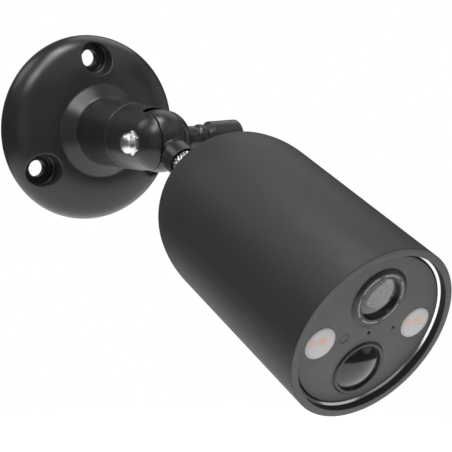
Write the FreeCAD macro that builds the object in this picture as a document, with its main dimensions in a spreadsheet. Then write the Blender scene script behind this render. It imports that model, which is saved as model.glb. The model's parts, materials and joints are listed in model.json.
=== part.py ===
import FreeCAD, Part
import math
import os
import re

import Sketcher
from FreeCAD import Placement, Rotation, Vector

# A battery-powered outdoor security camera on a swivelling and tilting wall bracket, in millimetres.
# The origin is the centre of the wall plate's back face. +Z is up, -Y points out of the wall and
# +X is the tilt axis, towards the thumb knob.
#
# Most pieces are drawn in a local frame of their assembly: local x is the object's +X, local y is
# up and local z is the distance forward, along the axis of the wall plate or of the camera. The
# clamp's pieces are turned about local z, which lies along the tilt axis.

doc = FreeCAD.newDocument("SecurityCamera")
sheet = doc.addObject("Spreadsheet::Sheet", "dims")

DIMENSIONS = [
    # wall plate: a dome of two tangent arcs, a conical boss and a tapered neck
    ("plate_radius", 36.0),
    ("rim_radius", 10.23),
    ("rim_turn", 60.8),
    ("crown_arc", 30.95),
    ("boss_radius", 17.6),
    ("boss_base", 12.87),
    ("neck_root", 12.8),
    ("neck_start", 17.2),
    ("neck_tip", 12.0),
    ("neck_end", 38.6),
    ("web_back", 10.0),
    ("web_front", 14.0),
    ("back_pocket", 8.6),
    ("groove_inner", 11.4),
    ("groove_outer", 18.6),
    ("groove_depth", 9.0),
    ("screw_pitch_radius", 27.3),
    ("screw_hole", 3.2),
    ("counterbore_floor", 3.4),
    ("counterbore_mouth", 6.45),
    ("counterbore_root", 5.8),
    ("counterbore_top", 14.0),
    ("relief_radius", 5.6),
    ("relief_pitch", 26.0),
    ("relief_depth", 6.0),
    # swivel fork
    ("stem_radius", 6.0),
    ("stem_clearance", 0.05),
    ("stem_end", 14.6),
    ("face_gap", 0.1),
    ("ball_radius", 11.1),
    ("pivot_reach", 56.8),
    ("slot_half", 4.6),
    ("slot_sweep", 12.1),
    ("swivel_thread", 2.5),
    ("swivel_hole", 2.6),
    ("swivel_head", 4.4),
    ("swivel_head_height", 3.2),
    ("washer_radius", 5.6),
    ("washer_thickness", 0.8),
    ("swivel_thread_end", 30.0),
    # clamp through the fork's ears
    ("clamp_thread", 2.5),
    ("clamp_clearance", 0.06),
    ("nut_flats", 7.4),
    ("nut_seat", 8.8),
    ("nut_face", 11.5),
    ("nut_crown", 3.45),
    ("nut_shoulder", 13.4),
    ("nut_rise", 1.7),
    ("ear_flat", 10.3),
    ("knob_stem", 4.3),
    ("knob_stem_end", 13.4),
    ("knob_waist", 4.0),
    ("knob_bead", 4.75),
    ("knob_bead_start", 14.4),
    ("knob_bead_end", 18.3),
    ("knob_grip_start", 19.9),
    ("knob_grip", 5.5),
    ("knob_end", 32.0),
    # knuckle, stud and lock collar
    ("rest_tilt", 20.4),
    ("knuckle_half", 4.3),
    ("knuckle_radius", 10.95),
    ("stub_start", 11.6),
    ("stub_radius", 5.65),
    ("web_step", 0.35),
    ("stub_end", 17.6),
    ("stud_radius", 3.175),
    ("stud_start", 5.0),
    ("stud_end", 39.5),
    ("collar_radius", 4.75),
    ("collar_start", 16.4),
    ("collar_pocket", 5.25),
    ("collar_pocket_floor", 16.0),
    # camera housing: a cylinder with a rear dome of three arcs
    ("rear_gap", 29.5),
    ("body_length", 90.8),
    ("body_radius", 26.75),
    ("wall_thickness", 2.6),
    ("dome_depth", 28.4),
    ("flank_radius", 38.46),
    ("flank_turn", 17.48),
    ("shoulder_radius", 23.26),
    ("shoulder_turn", 63.08),
    ("crown_radius", 29.34),
    ("lip_width", 2.24),
    ("lip_fillet", 0.5),
    ("recess_depth", 2.2),
    ("panel_thickness", 2.4),
    ("seal_thickness", 0.8),
    ("seal_bore", 22.15),
    ("insert_radius", 5.0),
    ("insert_length", 11.0),
    ("insert_boss", 8.0),
    ("boss_length", 12.4),
    ("post_pitch", 22.4),
    ("post_radius", 2.3),
    ("post_start", 74.0),
    ("post_end", 82.3),
    ("post_turn", 30.0),
    # front panel and what shows in it
    ("panel_radius", 23.35),
    ("ring_inner", 23.75),
    ("ring_outer", 24.46),
    ("ring_rise", 0.25),
    ("lens_height", 10.6),
    ("lens_hole", 8.0),
    ("bezel_radius", 9.0),
    ("bezel_flat", 8.1),
    ("bezel_rise", 0.75),
    ("bezel_inner", 6.4),
    ("glass_radius", 5.95),
    ("glass_depth", 0.5),
    ("glass_crown", 0.55),
    ("barrel_radius", 5.9),
    ("element_radius", 2.5),
    ("holder_half", 7.3),
    ("motion_height", -12.25),
    ("motion_hole", 7.7),
    ("motion_ring", 8.55),
    ("motion_ring_rise", 0.55),
    ("motion_dome", 7.15),
    ("motion_dome_rise", 2.1),
    ("light_offset", 16.6),
    ("light_height", -0.5),
    ("light_radius", 4.88),
    ("light_rise", 0.45),
    ("sensor_offset", 8.6),
    ("sensor_height", -0.6),
    ("sensor_radius", 1.5),
    ("pinhole_radius", 0.5),
    # inside the housing, measured forward from the housing's rear
    ("cell_radius", 9.2),
    ("cell_offset", 9.45),
    ("cell_height", -7.0),
    ("cell_start", 15.0),
    ("cell_end", 80.0),
    ("cradle_bottom", -17.4),
    ("cradle_top", 3.2),
    ("board_thickness", 1.0),
    ("board_half", 18.0),
    ("board_start", 18.0),
    ("board_end", 60.0),
    ("port_half", 8.5),
    ("port_start", 34.0),
    ("port_end", 48.0),
    ("port_floor", 24.6),
    ("flap_gap", 0.15),
    ("flap_swing_gap", 0.3),
    ("flap_thickness", 1.5),
    ("usb_position", 44.0),
    ("button_position", 37.5),
    ("button_radius", 1.8),
    ("button_travel", 0.35),
    ("speaker_radius", 7.3),
    ("speaker_position", 60.0),
    ("carrier_start", 82.4),
    ("carrier_end", 84.0),
]

for row, (alias, size) in enumerate(DIMENSIONS, start=1):
    sheet.set("A%d" % row, alias)
    sheet.set("B%d" % row, str(size))
    sheet.setAlias("B%d" % row, alias)
doc.recompute()

SUB_PARTS = []


# ---------------------------------------------------------------- expressions and placements

def bound(text):
    """An expression with every dimension's name pointed at the sheet."""
    return re.sub(r"\b([a-z]+_[a-z_]+)\b", r"dims.\1", text)


def number(text):
    """The value that an expression has now."""
    return float(sheet.evalExpression(bound(text)))


def bind(item, prop, text):
    """Ties a property to the sheet."""
    item.setExpression(prop, bound(text))


def finish(item, label, frame, at=("0", "0", "0")):
    """Names a sub-part and sets it in the wall, camera or clamp frame, with its origin at `at`."""
    x, up, ahead = at
    if frame == "wall":
        turn = ("1", "0", "0"), "90"
        base = x, "-(%s)" % ahead, up
    elif frame == "camera":
        turn = ("1", "0", "0"), "90 + rest_tilt"
        base = (x,
                "-pivot_reach - (%s) * cos(rest_tilt) - (%s) * sin(rest_tilt)" % (ahead, up),
                "(%s) * cos(rest_tilt) - (%s) * sin(rest_tilt)" % (up, ahead))
    else:
        turn = ("0", "1", "0"), "90"
        base = ahead, "-pivot_reach", "0"
    axis, angle = turn
    item.Label = label
    item.Placement = Placement(Vector(), Rotation(Vector(*[float(part) for part in axis]), number(angle)))
    for letter, text in zip("xyz", base):
        bind(item, "Placement.Base." + letter, text)
    bind(item, "Placement.Rotation.Angle", angle)
    SUB_PARTS.append(item)
    return item


# ---------------------------------------------------------------- sketches and bodies

def origin_part(body, role):
    return [part for part in body.Origin.OriginFeatures if part.Role == role][0]


def new_sketch(body, name, plane, offset=None):
    """A sketch on one of the body's own origin planes, shifted by expressions for x, y and z."""
    sketch = body.newObject("Sketcher::SketchObject", name)
    sketch.AttachmentSupport = [(origin_part(body, plane), "")]
    sketch.MapMode = "FlatFace"
    for letter, text in (offset or {}).items():
        bind(sketch, "AttachmentOffset.Base." + letter, text)
    return sketch


def pin_down(sketch, kind, edge, end, text, name):
    """Holds one coordinate of an edge's end at an expression's value."""
    index = sketch.addConstraint(Sketcher.Constraint(kind, -1, 1, edge, end, number(text)))
    sketch.renameConstraint(index, name)
    bind(sketch, "Constraints." + name, text)


def draw_outline(sketch, points, arcs=None):
    """Draws a closed outline through points given as expressions.

    arcs maps the index of an edge's first point to (radius, side): side is 1 where the arc's centre
    lies to the left of the edge and -1 where it lies to the right.
    """
    arcs = arcs or {}
    places = [Vector(number(x), number(y), 0) for x, y in points]
    ends = []
    for index, start in enumerate(places):
        stop = places[(index + 1) % len(places)]
        if index not in arcs:
            sketch.addGeometry(Part.LineSegment(start, stop), False)
            ends.append((1, 2))
            continue
        radius_text, side = arcs[index]
        radius = number(radius_text)
        chord = stop - start
        height = math.sqrt(max(radius ** 2 - (chord.Length / 2) ** 2, 0))
        normal = Vector(-chord.y, chord.x, 0).normalize()
        centre = (start + stop) / 2 + normal * height * side
        first, last = (start, stop) if side > 0 else (stop, start)
        angles = [math.atan2((end - centre).y, (end - centre).x) for end in (first, last)]
        circle = Part.Circle(centre, Vector(0, 0, 1), radius)
        sketch.addGeometry(Part.ArcOfCircle(circle, angles[0], angles[1]), False)
        ends.append((1, 2) if side > 0 else (2, 1))
    for index in range(len(points)):
        following = (index + 1) % len(points)
        sketch.addConstraint(
            Sketcher.Constraint("Coincident", index, ends[index][1], following, ends[following][0]))
    for index, (x, y) in enumerate(points):
        pin_down(sketch, "DistanceX", index, ends[index][0], x, "x%d" % index)
        pin_down(sketch, "DistanceY", index, ends[index][0], y, "y%d" % index)
    for index, (radius_text, side) in arcs.items():
        constraint = sketch.addConstraint(Sketcher.Constraint("Radius", index, number(radius_text)))
        sketch.renameConstraint(constraint, "radius%d" % index)
        bind(sketch, "Constraints.radius%d" % index, radius_text)


def draw_circles(sketch, circles):
    """Draws circles given as (x, y, radius) expressions."""
    for index, (x, y, radius) in enumerate(circles):
        centre = Vector(number(x), number(y), 0)
        sketch.addGeometry(Part.Circle(centre, Vector(0, 0, 1), number(radius)), False)
        pin_down(sketch, "DistanceX", index, 3, x, "x%d" % index)
        pin_down(sketch, "DistanceY", index, 3, y, "y%d" % index)
        constraint = sketch.addConstraint(Sketcher.Constraint("Radius", index, number(radius)))
        sketch.renameConstraint(constraint, "radius%d" % index)
        bind(sketch, "Constraints.radius%d" % index, radius)


def box_outline(left, right, bottom, top):
    return [(left, bottom), (right, bottom), (right, top), (left, top)]


def new_body(name):
    return doc.addObject("PartDesign::Body", name + "_body")


def revolve(body, name, points, arcs=None, x="0", up="0", ahead="0", kind="Revolution", axis="V_Axis"):
    """Turns an outline in the local x, z plane about its own z axis, or its x axis with H_Axis."""
    sketch = new_sketch(body, name + "_outline", "XZ_Plane", {"x": x, "y": ahead, "z": "-(%s)" % up})
    draw_outline(sketch, points, arcs)
    feature = body.newObject("PartDesign::" + kind, name + "_turned")
    feature.Profile = sketch
    feature.ReferenceAxis = (sketch, [axis])
    feature.Angle = 360
    return feature


def pocket(body, sketch, depth, reverse=False, both_ways=False):
    """Cuts a sketch's outline out of the body and makes sure that it took material away."""
    doc.recompute()
    before = body.Shape.Volume
    feature = body.newObject("PartDesign::Pocket", sketch.Name + "_cut")
    feature.Profile = sketch
    feature.Type = "Length"
    if both_ways:
        feature.SideType = "Symmetric"
    bind(feature, "Length", depth)
    feature.Reversed = reverse
    doc.recompute()
    if body.Shape.Volume >= before - 0.01:
        raise RuntimeError(sketch.Name + " cuts nothing")
    return feature


def pad(body, sketch, depth, reverse=False):
    feature = body.newObject("PartDesign::Pad", sketch.Name + "_pad")
    feature.Profile = sketch
    feature.Type = "Length"
    bind(feature, "Length", depth)
    feature.Reversed = reverse
    return feature


def three_around(body, name, features):
    """Repeats features three times about local z."""
    pattern = body.newObject("PartDesign::PolarPattern", name)
    pattern.Originals = features
    pattern.Axis = (origin_part(body, "Z_Axis"), [""])
    pattern.Angle = 360
    pattern.Occurrences = 3
    body.Tip = pattern
    return pattern


def turned(label, frame, points, arcs=None, x="0", up="0"):
    """A sub-part that is one turned outline."""
    body = new_body(label)
    revolve(body, label, points, arcs, x, up)
    return finish(body, label, frame)


# ---------------------------------------------------------------- primitives and booleans

def rod(name, radius, low, high, x="0", up="0"):
    """A cylinder along local z."""
    item = doc.addObject("Part::Cylinder", name)
    bind(item, "Radius", radius)
    bind(item, "Height", "(%s) - (%s)" % (high, low))
    for letter, text in zip("xyz", (x, up, low)):
        bind(item, "Placement.Base." + letter, text)
    return item


def upright_rod(name, radius, low, high, x="0", ahead="0"):
    """A cylinder along local y, from height low to height high."""
    item = doc.addObject("Part::Cylinder", name)
    bind(item, "Radius", radius)
    bind(item, "Height", "(%s) - (%s)" % (high, low))
    item.Placement = Placement(Vector(), Rotation(Vector(1, 0, 0), -90))
    for letter, text in zip("xyz", (x, low, ahead)):
        bind(item, "Placement.Base." + letter, text)
    return item


def cross_rod(name, radius, half_length):
    """A cylinder along local x, centred on the origin."""
    item = doc.addObject("Part::Cylinder", name)
    bind(item, "Radius", radius)
    bind(item, "Height", "2 * (%s)" % half_length)
    item.Placement = Placement(Vector(), Rotation(Vector(0, 1, 0), 90))
    bind(item, "Placement.Base.x", "-(%s)" % half_length)
    return item


def block(name, x, up, ahead):
    """A box between pairs of expressions along local x, y and z."""
    item = doc.addObject("Part::Box", name)
    for prop, letter, (low, high) in zip(("Length", "Width", "Height"), "xyz", (x, up, ahead)):
        bind(item, prop, "(%s) - (%s)" % (high, low))
        bind(item, "Placement.Base." + letter, low)
    return item


def across(half, middle="0"):
    return "%s - (%s)" % (middle, half), "%s + (%s)" % (middle, half)


def cut(name, base, tools):
    item = doc.addObject("Part::Cut", name)
    item.Base = base
    item.Tool = tools[0] if len(tools) == 1 else fuse(name + "_tools", tools)
    return item


def fuse(name, pieces):
    item = doc.addObject("Part::MultiFuse", name)
    item.Shapes = pieces
    return item


def common(name, pieces):
    item = doc.addObject("Part::MultiCommon", name)
    item.Shapes = pieces
    return item


def group(name, pieces):
    """Separate solids kept in one sub-part."""
    item = doc.addObject("Part::Compound", name)
    item.Links = pieces
    return item


def box_part(label, x, up, ahead):
    """A sub-part in the camera frame that is one box, with its origin at its lowest corner."""
    finish(block(label + "_box", x, up, ahead), label, "camera", (x[0], up[0], ahead[0]))


# ---------------------------------------------------------------- wall bracket

def wall_plate():
    body = new_body("wall_plate")
    rim_end = ("plate_radius - rim_radius * (1 - cos(rim_turn))", "rim_radius * sin(rim_turn)")
    points = [
        ("plate_radius", "0"), rim_end, ("boss_radius", "boss_base"), ("neck_root", "neck_start"),
        ("neck_tip - 0.3", "neck_end - 0.3"), ("neck_tip - 0.6", "neck_end"),
        ("stem_radius + stem_clearance", "neck_end"), ("stem_radius + stem_clearance", "web_front"),
        ("swivel_hole", "web_front"), ("swivel_hole", "web_back"), ("back_pocket", "web_back"),
        ("back_pocket", "0"), ("groove_inner", "0"), ("groove_inner", "groove_depth"),
        ("groove_outer", "groove_depth"), ("groove_outer", "0"),
    ]
    revolve(body, "plate", points, {0: ("rim_radius", 1), 1: ("crown_arc", 1)})

    counterbore = revolve(body, "counterbore", [
        ("0", "counterbore_floor"), ("counterbore_root", "counterbore_floor"),
        ("counterbore_mouth", "counterbore_top"), ("0", "counterbore_top"),
    ], up="screw_pitch_radius", kind="Groove")
    hole = new_sketch(body, "screw_hole", "XY_Plane", {"z": "counterbore_top"})
    draw_circles(hole, [("0", "screw_pitch_radius", "screw_hole")])
    hole_cut = pocket(body, hole, "counterbore_top + 1")
    three_around(body, "screw_positions", [counterbore, hole_cut])

    relief = new_sketch(body, "relief", "XY_Plane", {"z": "relief_depth"})
    draw_circles(relief, [("0", "-relief_pitch", "relief_radius")])
    relief_cut = pocket(body, relief, "relief_depth + 1")
    three_around(body, "relief_positions", [relief_cut])
    finish(body, "wall_plate", "wall")


def swivel_fork():
    body = new_body("swivel_fork")
    points = [
        ("0", "stem_end"), ("stem_radius - 0.4", "stem_end"), ("stem_radius", "stem_end + 0.4"),
        ("stem_radius", "neck_end + face_gap"), ("neck_tip - 0.4", "neck_end + face_gap"),
        ("neck_tip", "neck_end + face_gap + 0.4"), ("ball_radius", "pivot_reach"),
        ("0", "pivot_reach + ball_radius"),
    ]
    revolve(body, "fork", points, {6: ("ball_radius", 1)})

    slot_side = "-sqrt(slot_sweep ^ 2 - slot_half ^ 2)"
    revolve(body, "slot", [
        ("slot_half", "0"), ("-slot_half", "0"), ("-slot_half", slot_side), ("slot_half", slot_side),
    ], {2: ("slot_sweep", 1)}, ahead="pivot_reach", kind="Groove", axis="H_Axis")

    bolt_hole = new_sketch(body, "bolt_hole", "YZ_Plane")
    draw_circles(bolt_hole, [("0", "pivot_reach", "clamp_thread + clamp_clearance")])
    pocket(body, bolt_hole, "4 * ball_radius", both_ways=True)

    ear = new_sketch(body, "ear_face", "YZ_Plane", {"z": "ear_flat"})
    draw_circles(ear, [("0", "pivot_reach", "knob_stem + 0.35")])
    pocket(body, ear, "ball_radius", reverse=True)

    seat = new_sketch(body, "nut_seat", "YZ_Plane", {"z": "-nut_seat"})
    corner = "(nut_flats / 2 + 0.06) / cos(30)"
    draw_outline(seat, [("%s * cos(%d)" % (corner, turn), "pivot_reach + %s * sin(%d)" % (corner, turn))
                        for turn in range(0, 360, 60)])
    pocket(body, seat, "ball_radius")

    thread = new_sketch(body, "swivel_thread", "XY_Plane", {"z": "stem_end - 1"})
    draw_circles(thread, [("0", "0", "swivel_thread")])
    pocket(body, thread, "swivel_thread_end - stem_end + 1.5", reverse=True)
    finish(body, "swivel_fork", "wall")


def swivel_fasteners():
    """The screw that holds the fork in the plate from behind, and the spring washer under its head."""
    head_front = "web_back - washer_thickness - 0.1"
    shank = rod("swivel_shank", "swivel_thread", head_front + " - 0.5", "swivel_thread_end")
    head = rod("swivel_head_disc", "swivel_head", head_front + " - swivel_head_height", head_front)
    socket = doc.addObject("Part::Prism", "swivel_socket")
    socket.Polygon = 6
    bind(socket, "Circumradius", "swivel_thread / 2 + 0.9")
    bind(socket, "Height", "2")
    bind(socket, "Placement.Base.z", head_front + " - swivel_head_height")
    screw = cut("swivel_screw_cut", fuse("swivel_screw_solid", [shank, head]), [socket])
    finish(screw, "swivel_screw", "wall")
    turned("swivel_washer", "wall", [
        ("swivel_thread + 0.1", "web_back - washer_thickness - 0.05"),
        ("washer_radius", "web_back - washer_thickness - 0.05"),
        ("washer_radius", "web_back - 0.05"), ("swivel_thread + 0.1", "web_back - 0.05"),
    ])


def clamp_pieces():
    """The clamp screw through the fork's ears, its thumb knob and the cap nut on its other end."""
    turned("clamp_screw", "clamp", [
        ("0", "-nut_face - 0.4"), ("clamp_thread - 0.4", "-nut_face - 0.4"),
        ("clamp_thread", "-nut_face"), ("clamp_thread", "knob_end - 3"), ("0", "knob_end - 3"),
    ])
    hollow = "knob_end - 3"
    bead = cap_radius("(knob_bead_end - knob_bead_start) / 2", "(knob_bead - knob_waist)")
    turned("thumb_knob", "clamp", [
        ("clamp_thread", "ear_flat + 0.1"), ("knob_stem", "ear_flat + 0.1"),
        ("knob_stem", "knob_stem_end"), ("knob_waist", "knob_bead_start"),
        ("knob_waist", "knob_bead_end"), ("knob_waist", "knob_bead_end + 0.3"),
        ("knob_grip - 0.3", "knob_grip_start"), ("knob_grip", "knob_grip_start + 0.3"),
        ("knob_grip", "knob_end - 0.5"), ("knob_grip - 0.5", "knob_end"), ("0", "knob_end"),
        ("0", hollow), ("clamp_thread", hollow),
    ], {3: (bead, 1)})

    hexagon = doc.addObject("Part::Prism", "nut_hexagon")
    hexagon.Polygon = 6
    bind(hexagon, "Circumradius", "nut_flats / 2 / cos(30)")
    bind(hexagon, "Height", "nut_face - nut_seat - 0.05")
    bind(hexagon, "Placement.Base.z", "-nut_face")
    dome_radius = cap_radius("nut_crown", "nut_rise")
    dome = doc.addObject("Part::Sphere", "nut_dome")
    bind(dome, "Radius", dome_radius)
    bind(dome, "Placement.Base.z", "-nut_shoulder - nut_rise + " + dome_radius)
    column = rod("nut_column", "nut_crown", "-nut_shoulder - nut_rise - 1", "-nut_seat - 1")
    crown = common("nut_crown", [dome, column])
    bore = rod("nut_bore", "clamp_thread + clamp_clearance", "-nut_face - 0.6", "0")
    clear = rod("nut_back", "2 * nut_flats", "-nut_seat - 0.05", "0")
    nut = cut("nut_cut", fuse("nut_solid", [hexagon, crown]), [bore, clear])
    finish(nut, "cap_nut", "clamp")


def knuckle_pieces():
    """The tilting knuckle, the stud that is moulded into it and the knurled lock collar."""
    ball = doc.addObject("Part::Sphere", "knuckle_ball")
    bind(ball, "Radius", "knuckle_radius")
    slab = block("knuckle_slab", across("knuckle_half"), across("2 * knuckle_radius"),
                 across("2 * knuckle_radius"))
    web = common("knuckle_web", [
        rod("web_round", "stub_radius - web_step", "0", "stub_start + 1"),
        block("web_slab", across("knuckle_half"), across("stub_radius"), ("0", "stub_start + 1")),
    ])
    stub = rod("stub", "stub_radius", "stub_start", "stub_end")
    solid = fuse("knuckle_solid", [common("knuckle_slice", [ball, slab]), web, stub])
    knuckle = cut("knuckle_cut", solid, [
        cross_rod("knuckle_bore", "clamp_thread + clamp_clearance", "2 * knuckle_half"),
        rod("stud_bore", "stud_radius", "stud_start", "stub_end + 1"),
        rod("collar_pocket", "collar_pocket", "collar_pocket_floor", "stub_end + 1"),
    ])
    finish(knuckle, "tilt_knuckle", "camera")
    turned("mount_stud", "camera", [
        ("0", "stud_start"), ("stud_radius", "stud_start"), ("stud_radius", "stud_end - 0.6"),
        ("stud_radius - 0.6", "stud_end"), ("0", "stud_end"),
    ])
    turned("knurled_collar", "camera", [
        ("stud_radius + 0.06", "collar_start"), ("collar_radius - 0.25", "collar_start"),
        ("collar_radius", "collar_start + 0.25"), ("collar_radius", "rear_gap - 0.35"),
        ("collar_radius - 0.25", "rear_gap - 0.1"), ("stud_radius + 0.06", "rear_gap - 0.1"),
    ])


# ---------------------------------------------------------------- camera housing

def forward(text):
    """A distance from the housing's rear, as a distance from the tilt axis."""
    return "rear_gap + (%s)" % text


def dome_points(inset, crown_end):
    """The dome's outline from its crown at radius crown_end to the cylinder, inside the skin by inset."""
    knee_x = "body_radius - flank_radius + (flank_radius - shoulder_radius) * cos(flank_turn)"
    knee_z = "dome_depth - (flank_radius - shoulder_radius) * sin(flank_turn)"
    return [
        (crown_end, forward("crown_radius - sqrt((crown_radius - (%s))^2 - (%s)^2)" % (inset, crown_end))),
        ("%s + (shoulder_radius - (%s)) * cos(shoulder_turn)" % (knee_x, inset),
         forward("%s - (shoulder_radius - (%s)) * sin(shoulder_turn)" % (knee_z, inset))),
        ("body_radius - flank_radius + (flank_radius - (%s)) * cos(flank_turn)" % inset,
         forward("dome_depth - (flank_radius - (%s)) * sin(flank_turn)" % inset)),
        ("body_radius - (%s)" % inset, forward("dome_depth")),
    ]


def dome_arcs(inset, first, side):
    """The radii of the dome's three arcs, crown first, from edge number `first` on."""
    step = 1 if side > 0 else -1
    radii = ["crown_radius", "shoulder_radius", "flank_radius"]
    return {first + step * index: ("%s - (%s)" % (radius, inset), side)
            for index, radius in enumerate(radii)}


def main_housing():
    body = new_body("main_housing")
    outer = dome_points("0", "insert_radius")
    inner = dome_points("wall_thickness", "insert_boss")
    shelf = forward("body_length - recess_depth - panel_thickness - seal_thickness")
    points = outer + [
        ("body_radius", forward("body_length - lip_fillet")),
        ("body_radius - lip_fillet", forward("body_length")),
        ("body_radius - lip_width", forward("body_length")),
        ("body_radius - lip_width", shelf),
        ("body_radius - wall_thickness", shelf),
    ] + inner[::-1] + [
        ("insert_boss", forward("boss_length")),
        ("insert_radius", forward("boss_length")),
    ]
    arcs = dome_arcs("0", 0, 1)
    arcs[4] = ("lip_fillet", 1)
    arcs.update(dome_arcs("wall_thickness", 11, -1))
    revolve(body, "shell", points, arcs)

    post = new_sketch(body, "post", "XY_Plane", {"z": forward("post_start")})
    draw_circles(post, [("post_pitch * cos(post_turn)", "post_pitch * sin(post_turn)", "post_radius")])
    post_pad = pad(body, post, "post_end - post_start")
    three_around(body, "posts", [post_pad])
    thread = new_sketch(body, "post_thread", "XY_Plane", {"z": forward("post_end")})
    draw_circles(thread, [("post_pitch * cos(post_turn)", "post_pitch * sin(post_turn)", "0.9")])
    thread_cut = pocket(body, thread, "6")
    three_around(body, "post_threads", [thread_cut])

    opening = new_sketch(body, "port_opening", "XZ_Plane")
    draw_outline(opening, box_outline("-port_half", "port_half", forward("port_start"), forward("port_end")))
    pocket(body, opening, "2 * body_radius", reverse=True)

    grille = new_sketch(body, "speaker_grille", "XZ_Plane")
    centre = forward("speaker_position")
    holes = [("0", centre, "0.6")]
    for turn in range(0, 360, 60):
        holes.append(("2.6 * cos(%d)" % turn, "%s + 2.6 * sin(%d)" % (centre, turn), "0.6"))
    for turn in range(0, 360, 30):
        holes.append(("5.2 * cos(%d)" % turn, "%s + 5.2 * sin(%d)" % (centre, turn), "0.6"))
    draw_circles(grille, holes)
    pocket(body, grille, "2 * body_radius", reverse=True)
    finish(body, "main_housing", "camera")


def stud_insert():
    turned("stud_insert", "camera", [
        ("stud_radius + 0.06", forward("0.1")), ("insert_radius - 0.3", forward("0.1")),
        ("insert_radius", forward("0.4")), ("insert_radius", forward("insert_length")),
        ("stud_radius + 0.06", forward("insert_length")),
    ])


# ---------------------------------------------------------------- front panel

FACE = "rear_gap + body_length - recess_depth"
PANEL_BACK = FACE + " - panel_thickness"


def front_panel():
    body = new_body("front_panel")
    revolve(body, "panel", [
        ("0", PANEL_BACK), ("panel_radius", PANEL_BACK), ("panel_radius", FACE + " - 0.2"),
        ("panel_radius - 0.2", FACE), ("0", FACE),
    ])
    holes = new_sketch(body, "panel_holes", "XY_Plane", {"z": FACE + " + 1"})
    draw_circles(holes, [
        ("0", "lens_height", "lens_hole"), ("0", "motion_height", "motion_hole"),
        ("-light_offset", "light_height", "light_radius + 0.06"),
        ("light_offset", "light_height", "light_radius + 0.06"),
        ("-sensor_offset", "sensor_height", "sensor_radius + 0.05"),
        ("sensor_offset", "sensor_height", "pinhole_radius"),
        ("0", "sensor_height", "pinhole_radius"),
    ])
    pocket(body, holes, "panel_thickness + 2")
    finish(body, "front_panel", "camera")

    turned("trim_ring", "camera", [
        ("ring_inner", PANEL_BACK), ("ring_outer", PANEL_BACK), ("ring_outer", FACE + " + ring_rise"),
        ("ring_inner", FACE + " - ring_rise"),
    ])
    turned("panel_seal", "camera", [
        ("seal_bore", PANEL_BACK + " - seal_thickness"),
        ("ring_outer - 0.05", PANEL_BACK + " - seal_thickness"),
        ("ring_outer - 0.05", PANEL_BACK), ("seal_bore", PANEL_BACK),
    ])


def cap_radius(rim, rise):
    """The radius of a spherical cap from its rim's radius and its rise."""
    return "((%s)^2 + (%s)^2) / (2 * (%s))" % (rim, rise, rise)


def lens_pieces():
    glass_rim = FACE + " - glass_depth"
    turned("lens_bezel", "camera", [
        ("glass_radius + 0.05", PANEL_BACK + " - 0.6"), ("lens_hole - 0.05", PANEL_BACK + " - 0.6"),
        ("lens_hole - 0.05", FACE), ("bezel_radius", FACE), ("bezel_radius", FACE + " + 0.15"),
        ("bezel_flat", FACE + " + bezel_rise"), ("bezel_inner", FACE + " + bezel_rise"),
        ("glass_radius + 0.05", glass_rim),
    ], up="lens_height")
    turned("lens_glass", "camera", [
        ("0", glass_rim + " - 1.2"), ("glass_radius", glass_rim + " - 1.2"),
        ("glass_radius", glass_rim), ("0", glass_rim + " + glass_crown"),
    ], {2: (cap_radius("glass_radius", "glass_crown"), 1)}, up="lens_height")
    barrel_front = glass_rim + " - 1.25"
    turned("lens_barrel", "camera", [
        ("1.6", forward("70")), ("barrel_radius", forward("70")), ("barrel_radius", PANEL_BACK + " - 0.7"),
        ("glass_radius", PANEL_BACK + " - 0.7"), ("glass_radius", barrel_front), ("4.9", barrel_front),
        ("4.5", barrel_front + " - 0.8"), ("4.1", barrel_front + " - 0.8"),
        ("3.7", barrel_front + " - 1.6"), ("3.2", barrel_front + " - 1.6"),
        ("2.8", barrel_front + " - 2.4"), ("element_radius + 0.05", barrel_front + " - 2.4"),
        ("element_radius + 0.05", barrel_front + " - 4.8"), ("1.6", barrel_front + " - 4.8"),
    ], up="lens_height")
    turned("lens_element", "camera", [
        ("0", barrel_front + " - 4.7"), ("element_radius", barrel_front + " - 4.7"),
        ("element_radius", barrel_front + " - 3.6"), ("0", barrel_front + " - 2.9"),
    ], {2: (cap_radius("element_radius", "0.7"), 1)}, up="lens_height")

    holder_back = forward("63.4")
    holder_box = block("holder_box", across("holder_half"), across("holder_half", "lens_height"),
                       (holder_back, forward("76")))
    holder = cut("holder_cut", holder_box, [
        block("holder_window", across("4.5"), across("4.5", "lens_height"), (forward("63"), forward("66.4"))),
        rod("holder_neck", "4.2", forward("66"), forward("70.1"), up="lens_height"),
        rod("holder_bore", "barrel_radius", forward("69.95"), forward("77"), up="lens_height"),
    ])
    finish(holder, "lens_holder", "camera")
    box_part("image_sensor", across("3.6"), across("3", "lens_height"), (holder_back, forward("64.3")))
    box_part("sensor_board", across("8.6"), across("holder_half", "lens_height"),
             (forward("62.4"), holder_back))


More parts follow.
